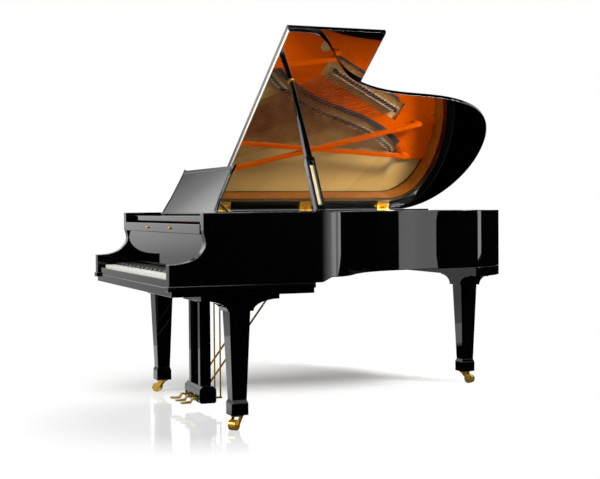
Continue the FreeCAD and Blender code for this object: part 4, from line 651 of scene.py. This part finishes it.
# a card with no axis is black: the others have strengths at places along theirs
cards = {
    "flagTreble": {"centre": (9.0, 0.0, 1.2), "facing": (-1, 0, 0), "wide": 26, "tall": 3.6},
    "flagTail": {"centre": (-1.0, 9.0, 1.2), "facing": (0, -1, 0), "wide": 24, "tall": 3.6},
    "flagTop": {"centre": (2.0, 0.0, 7.5), "facing": (0, 0, -1), "wide": 16, "tall": 18},
    # one long softbox makes both bands on the bentside, and two small flags end the second band
    "bandSoftbox": {"centre": (3.0, 4.8, 0.85), "facing": (-1, 0, 0), "wide": 8.4, "tall": 0.8,
                    "axis": "Y", "levels": (
                        (0.6, 0.0), (0.61, 0.22), (0.64, 1.5), (0.655, 2.5), (1.1, 3.9), (1.2, 4.4),
                        (2.3, 4.7), (2.36, 4.7), (2.39, 2.0), (2.8, 2.4), (3.6, 2.2), (4.02, 2.0),
                        (4.1, 4.2), (9.0, 3.6))},
    "bandFlagTail": {"centre": (0.6, 1.122, 0.9), "facing": (-1, 0, 0), "wide": 0.8, "tall": 0.6},
    "bandFlagFront": {"centre": (0.9, 1.645, 0.9), "facing": (-1, 0, 0), "wide": 1.2, "tall": 0.6},
    # the fronts mirror a low card, brightest at its top, and the desk a high one, brighter to the front
    "lowFrontCard": {"centre": (-2.6, -2.2, 0.65), "facing": (1, 0, 0), "wide": 3.8, "tall": 1.3,
                     "axis": "Z", "levels": (
                         (0.0, 0.55), (0.2, 0.42), (0.5, 0.45), (0.68, 0.55), (0.8, 0.85), (0.97, 1.1),
                         (1.3, 1.4))},
    "highFrontCard": {"centre": (-2.6, -2.2, 1.95), "facing": (1, 0, 0), "wide": 3.8, "tall": 1.3,
                      "axis": "Y", "levels": (
                          (-4.0, 1.2), (-1.6, 1.8), (-1.34, 1.7), (-1.18, 0.75), (-1.05, 0.4), (-0.3, 0.3))},
}


def addCard(name, centre, facing, wide, tall, axis=None, levels=()):
    # a studio card that only the gloss sees: black, or glowing by a ramp of strengths along one axis
    card = panel(name, centre, facing, wide, tall)
    material = newMaterial(name)
    strength = 0.0
    if axis:
        place = addNode(material, "ShaderNodeTexCoord").outputs["Object"]
        value = addNode(material, "ShaderNodeSeparateXYZ", {"Vector": place}).outputs[axis]
        first, last, peak = levels[0][0], levels[-1][0], max(level for at, level in levels)
        share = addNode(material, "ShaderNodeMapRange", {
            "Value": value, "From Min": first, "From Max": last})
        ramp = addNode(material, "ShaderNodeValToRGB", {"Fac": share.outputs["Result"]}, stops=[
            ((at - first) / (last - first), [level / peak] * 3 + [1]) for at, level in levels])
        strength = addNode(material, "ShaderNodeMath", {
            0: ramp.outputs["Color"], 1: peak}, operation="MULTIPLY").outputs[0]
    shader = addNode(material, "ShaderNodeEmission", {"Color": (1, 1, 1, 1), "Strength": strength})
    card.data.materials.append(finishMaterial(material, shader))
    card.visible_camera = card.visible_diffuse = card.visible_shadow = False


for name, card in cards.items():
    addCard(name, **card)

slit = {"centre": (-0.753, 0.15, 1.0), "wide": 1.7, "tall": 0.036}


def addSlitShadeFlag():
    # a flag for the camera alone, black from the treble side and clear from behind, closes the slit under
    # the lid's hinge edge, which would show the white background: its black is painted shade
    flag = panel("slitShadeFlag", slit["centre"], (1, 0, 0), slit["wide"], slit["tall"])
    material = newMaterial("slitShadeFlag")
    behind = addNode(material, "ShaderNodeNewGeometry").outputs["Backfacing"]
    black = addNode(material, "ShaderNodeBsdfDiffuse", {"Color": (0, 0, 0, 1)})
    clear = addNode(material, "ShaderNodeBsdfTransparent")
    shader = addNode(material, "ShaderNodeMixShader", {0: behind, 1: black.outputs[0], 2: clear.outputs[0]})
    flag.data.materials.append(finishMaterial(material, shader))
    flag.visible_diffuse = flag.visible_glossy = flag.visible_shadow = False


addSlitShadeFlag()

softboxes = {
    "keySoftbox": {"place": (4.6, -1.6, 3.8), "target": (0, 0, 0.6), "size": (2.2, 2.2), "watts": 80},
    "topSoftbox": {"place": (1.2, -0.8, 5.5), "target": (0, 0, 0.8), "size": (3.0, 3.0), "watts": 140},
    "sideSoftbox": {"place": (1.9, 2.1, 2.4), "target": (0.1, 0.3, 0.85), "size": (1.0, 1.0), "watts": 20},
    "plateSoftbox": {"place": (1.6, -0.5, 1.9), "target": (0.1, -0.35, 0.86), "size": (0.5, 0.5),
                     "watts": 4, "spread": 60},
    "tailSoftbox": {"place": (0.7, 1.75, 1.75), "target": (-0.65, 1.0, 0.85), "size": (0.5, 0.5),
                    "watts": 13, "spread": 70},
    "frontSoftbox": {"place": (0.5, -4.6, 2.6), "target": (0, -0.9, 0.8), "size": (2.0, 1.2), "watts": 95},
}


def addSoftbox(name, place, target, size, watts, spread=180):
    # a rectangular lamp at its place that looks to its target, unseen by the camera
    lamp = bpy.data.lights.new(name, "AREA")
    lamp.shape = "RECTANGLE"
    lamp.size, lamp.size_y = size
    lamp.energy = watts
    lamp.spread = math.radians(spread)
    box = bpy.data.objects.new(name, lamp)
    aim = (Vector(place) - Vector(target)).to_track_quat("Z", "Y")
    box.matrix_world = Matrix.Translation(place) @ aim.to_matrix().to_4x4()
    box.visible_camera = False
    scene.collection.objects.link(box)


for name, softbox in softboxes.items():
    addSoftbox(name, **softbox)
print("studio set")
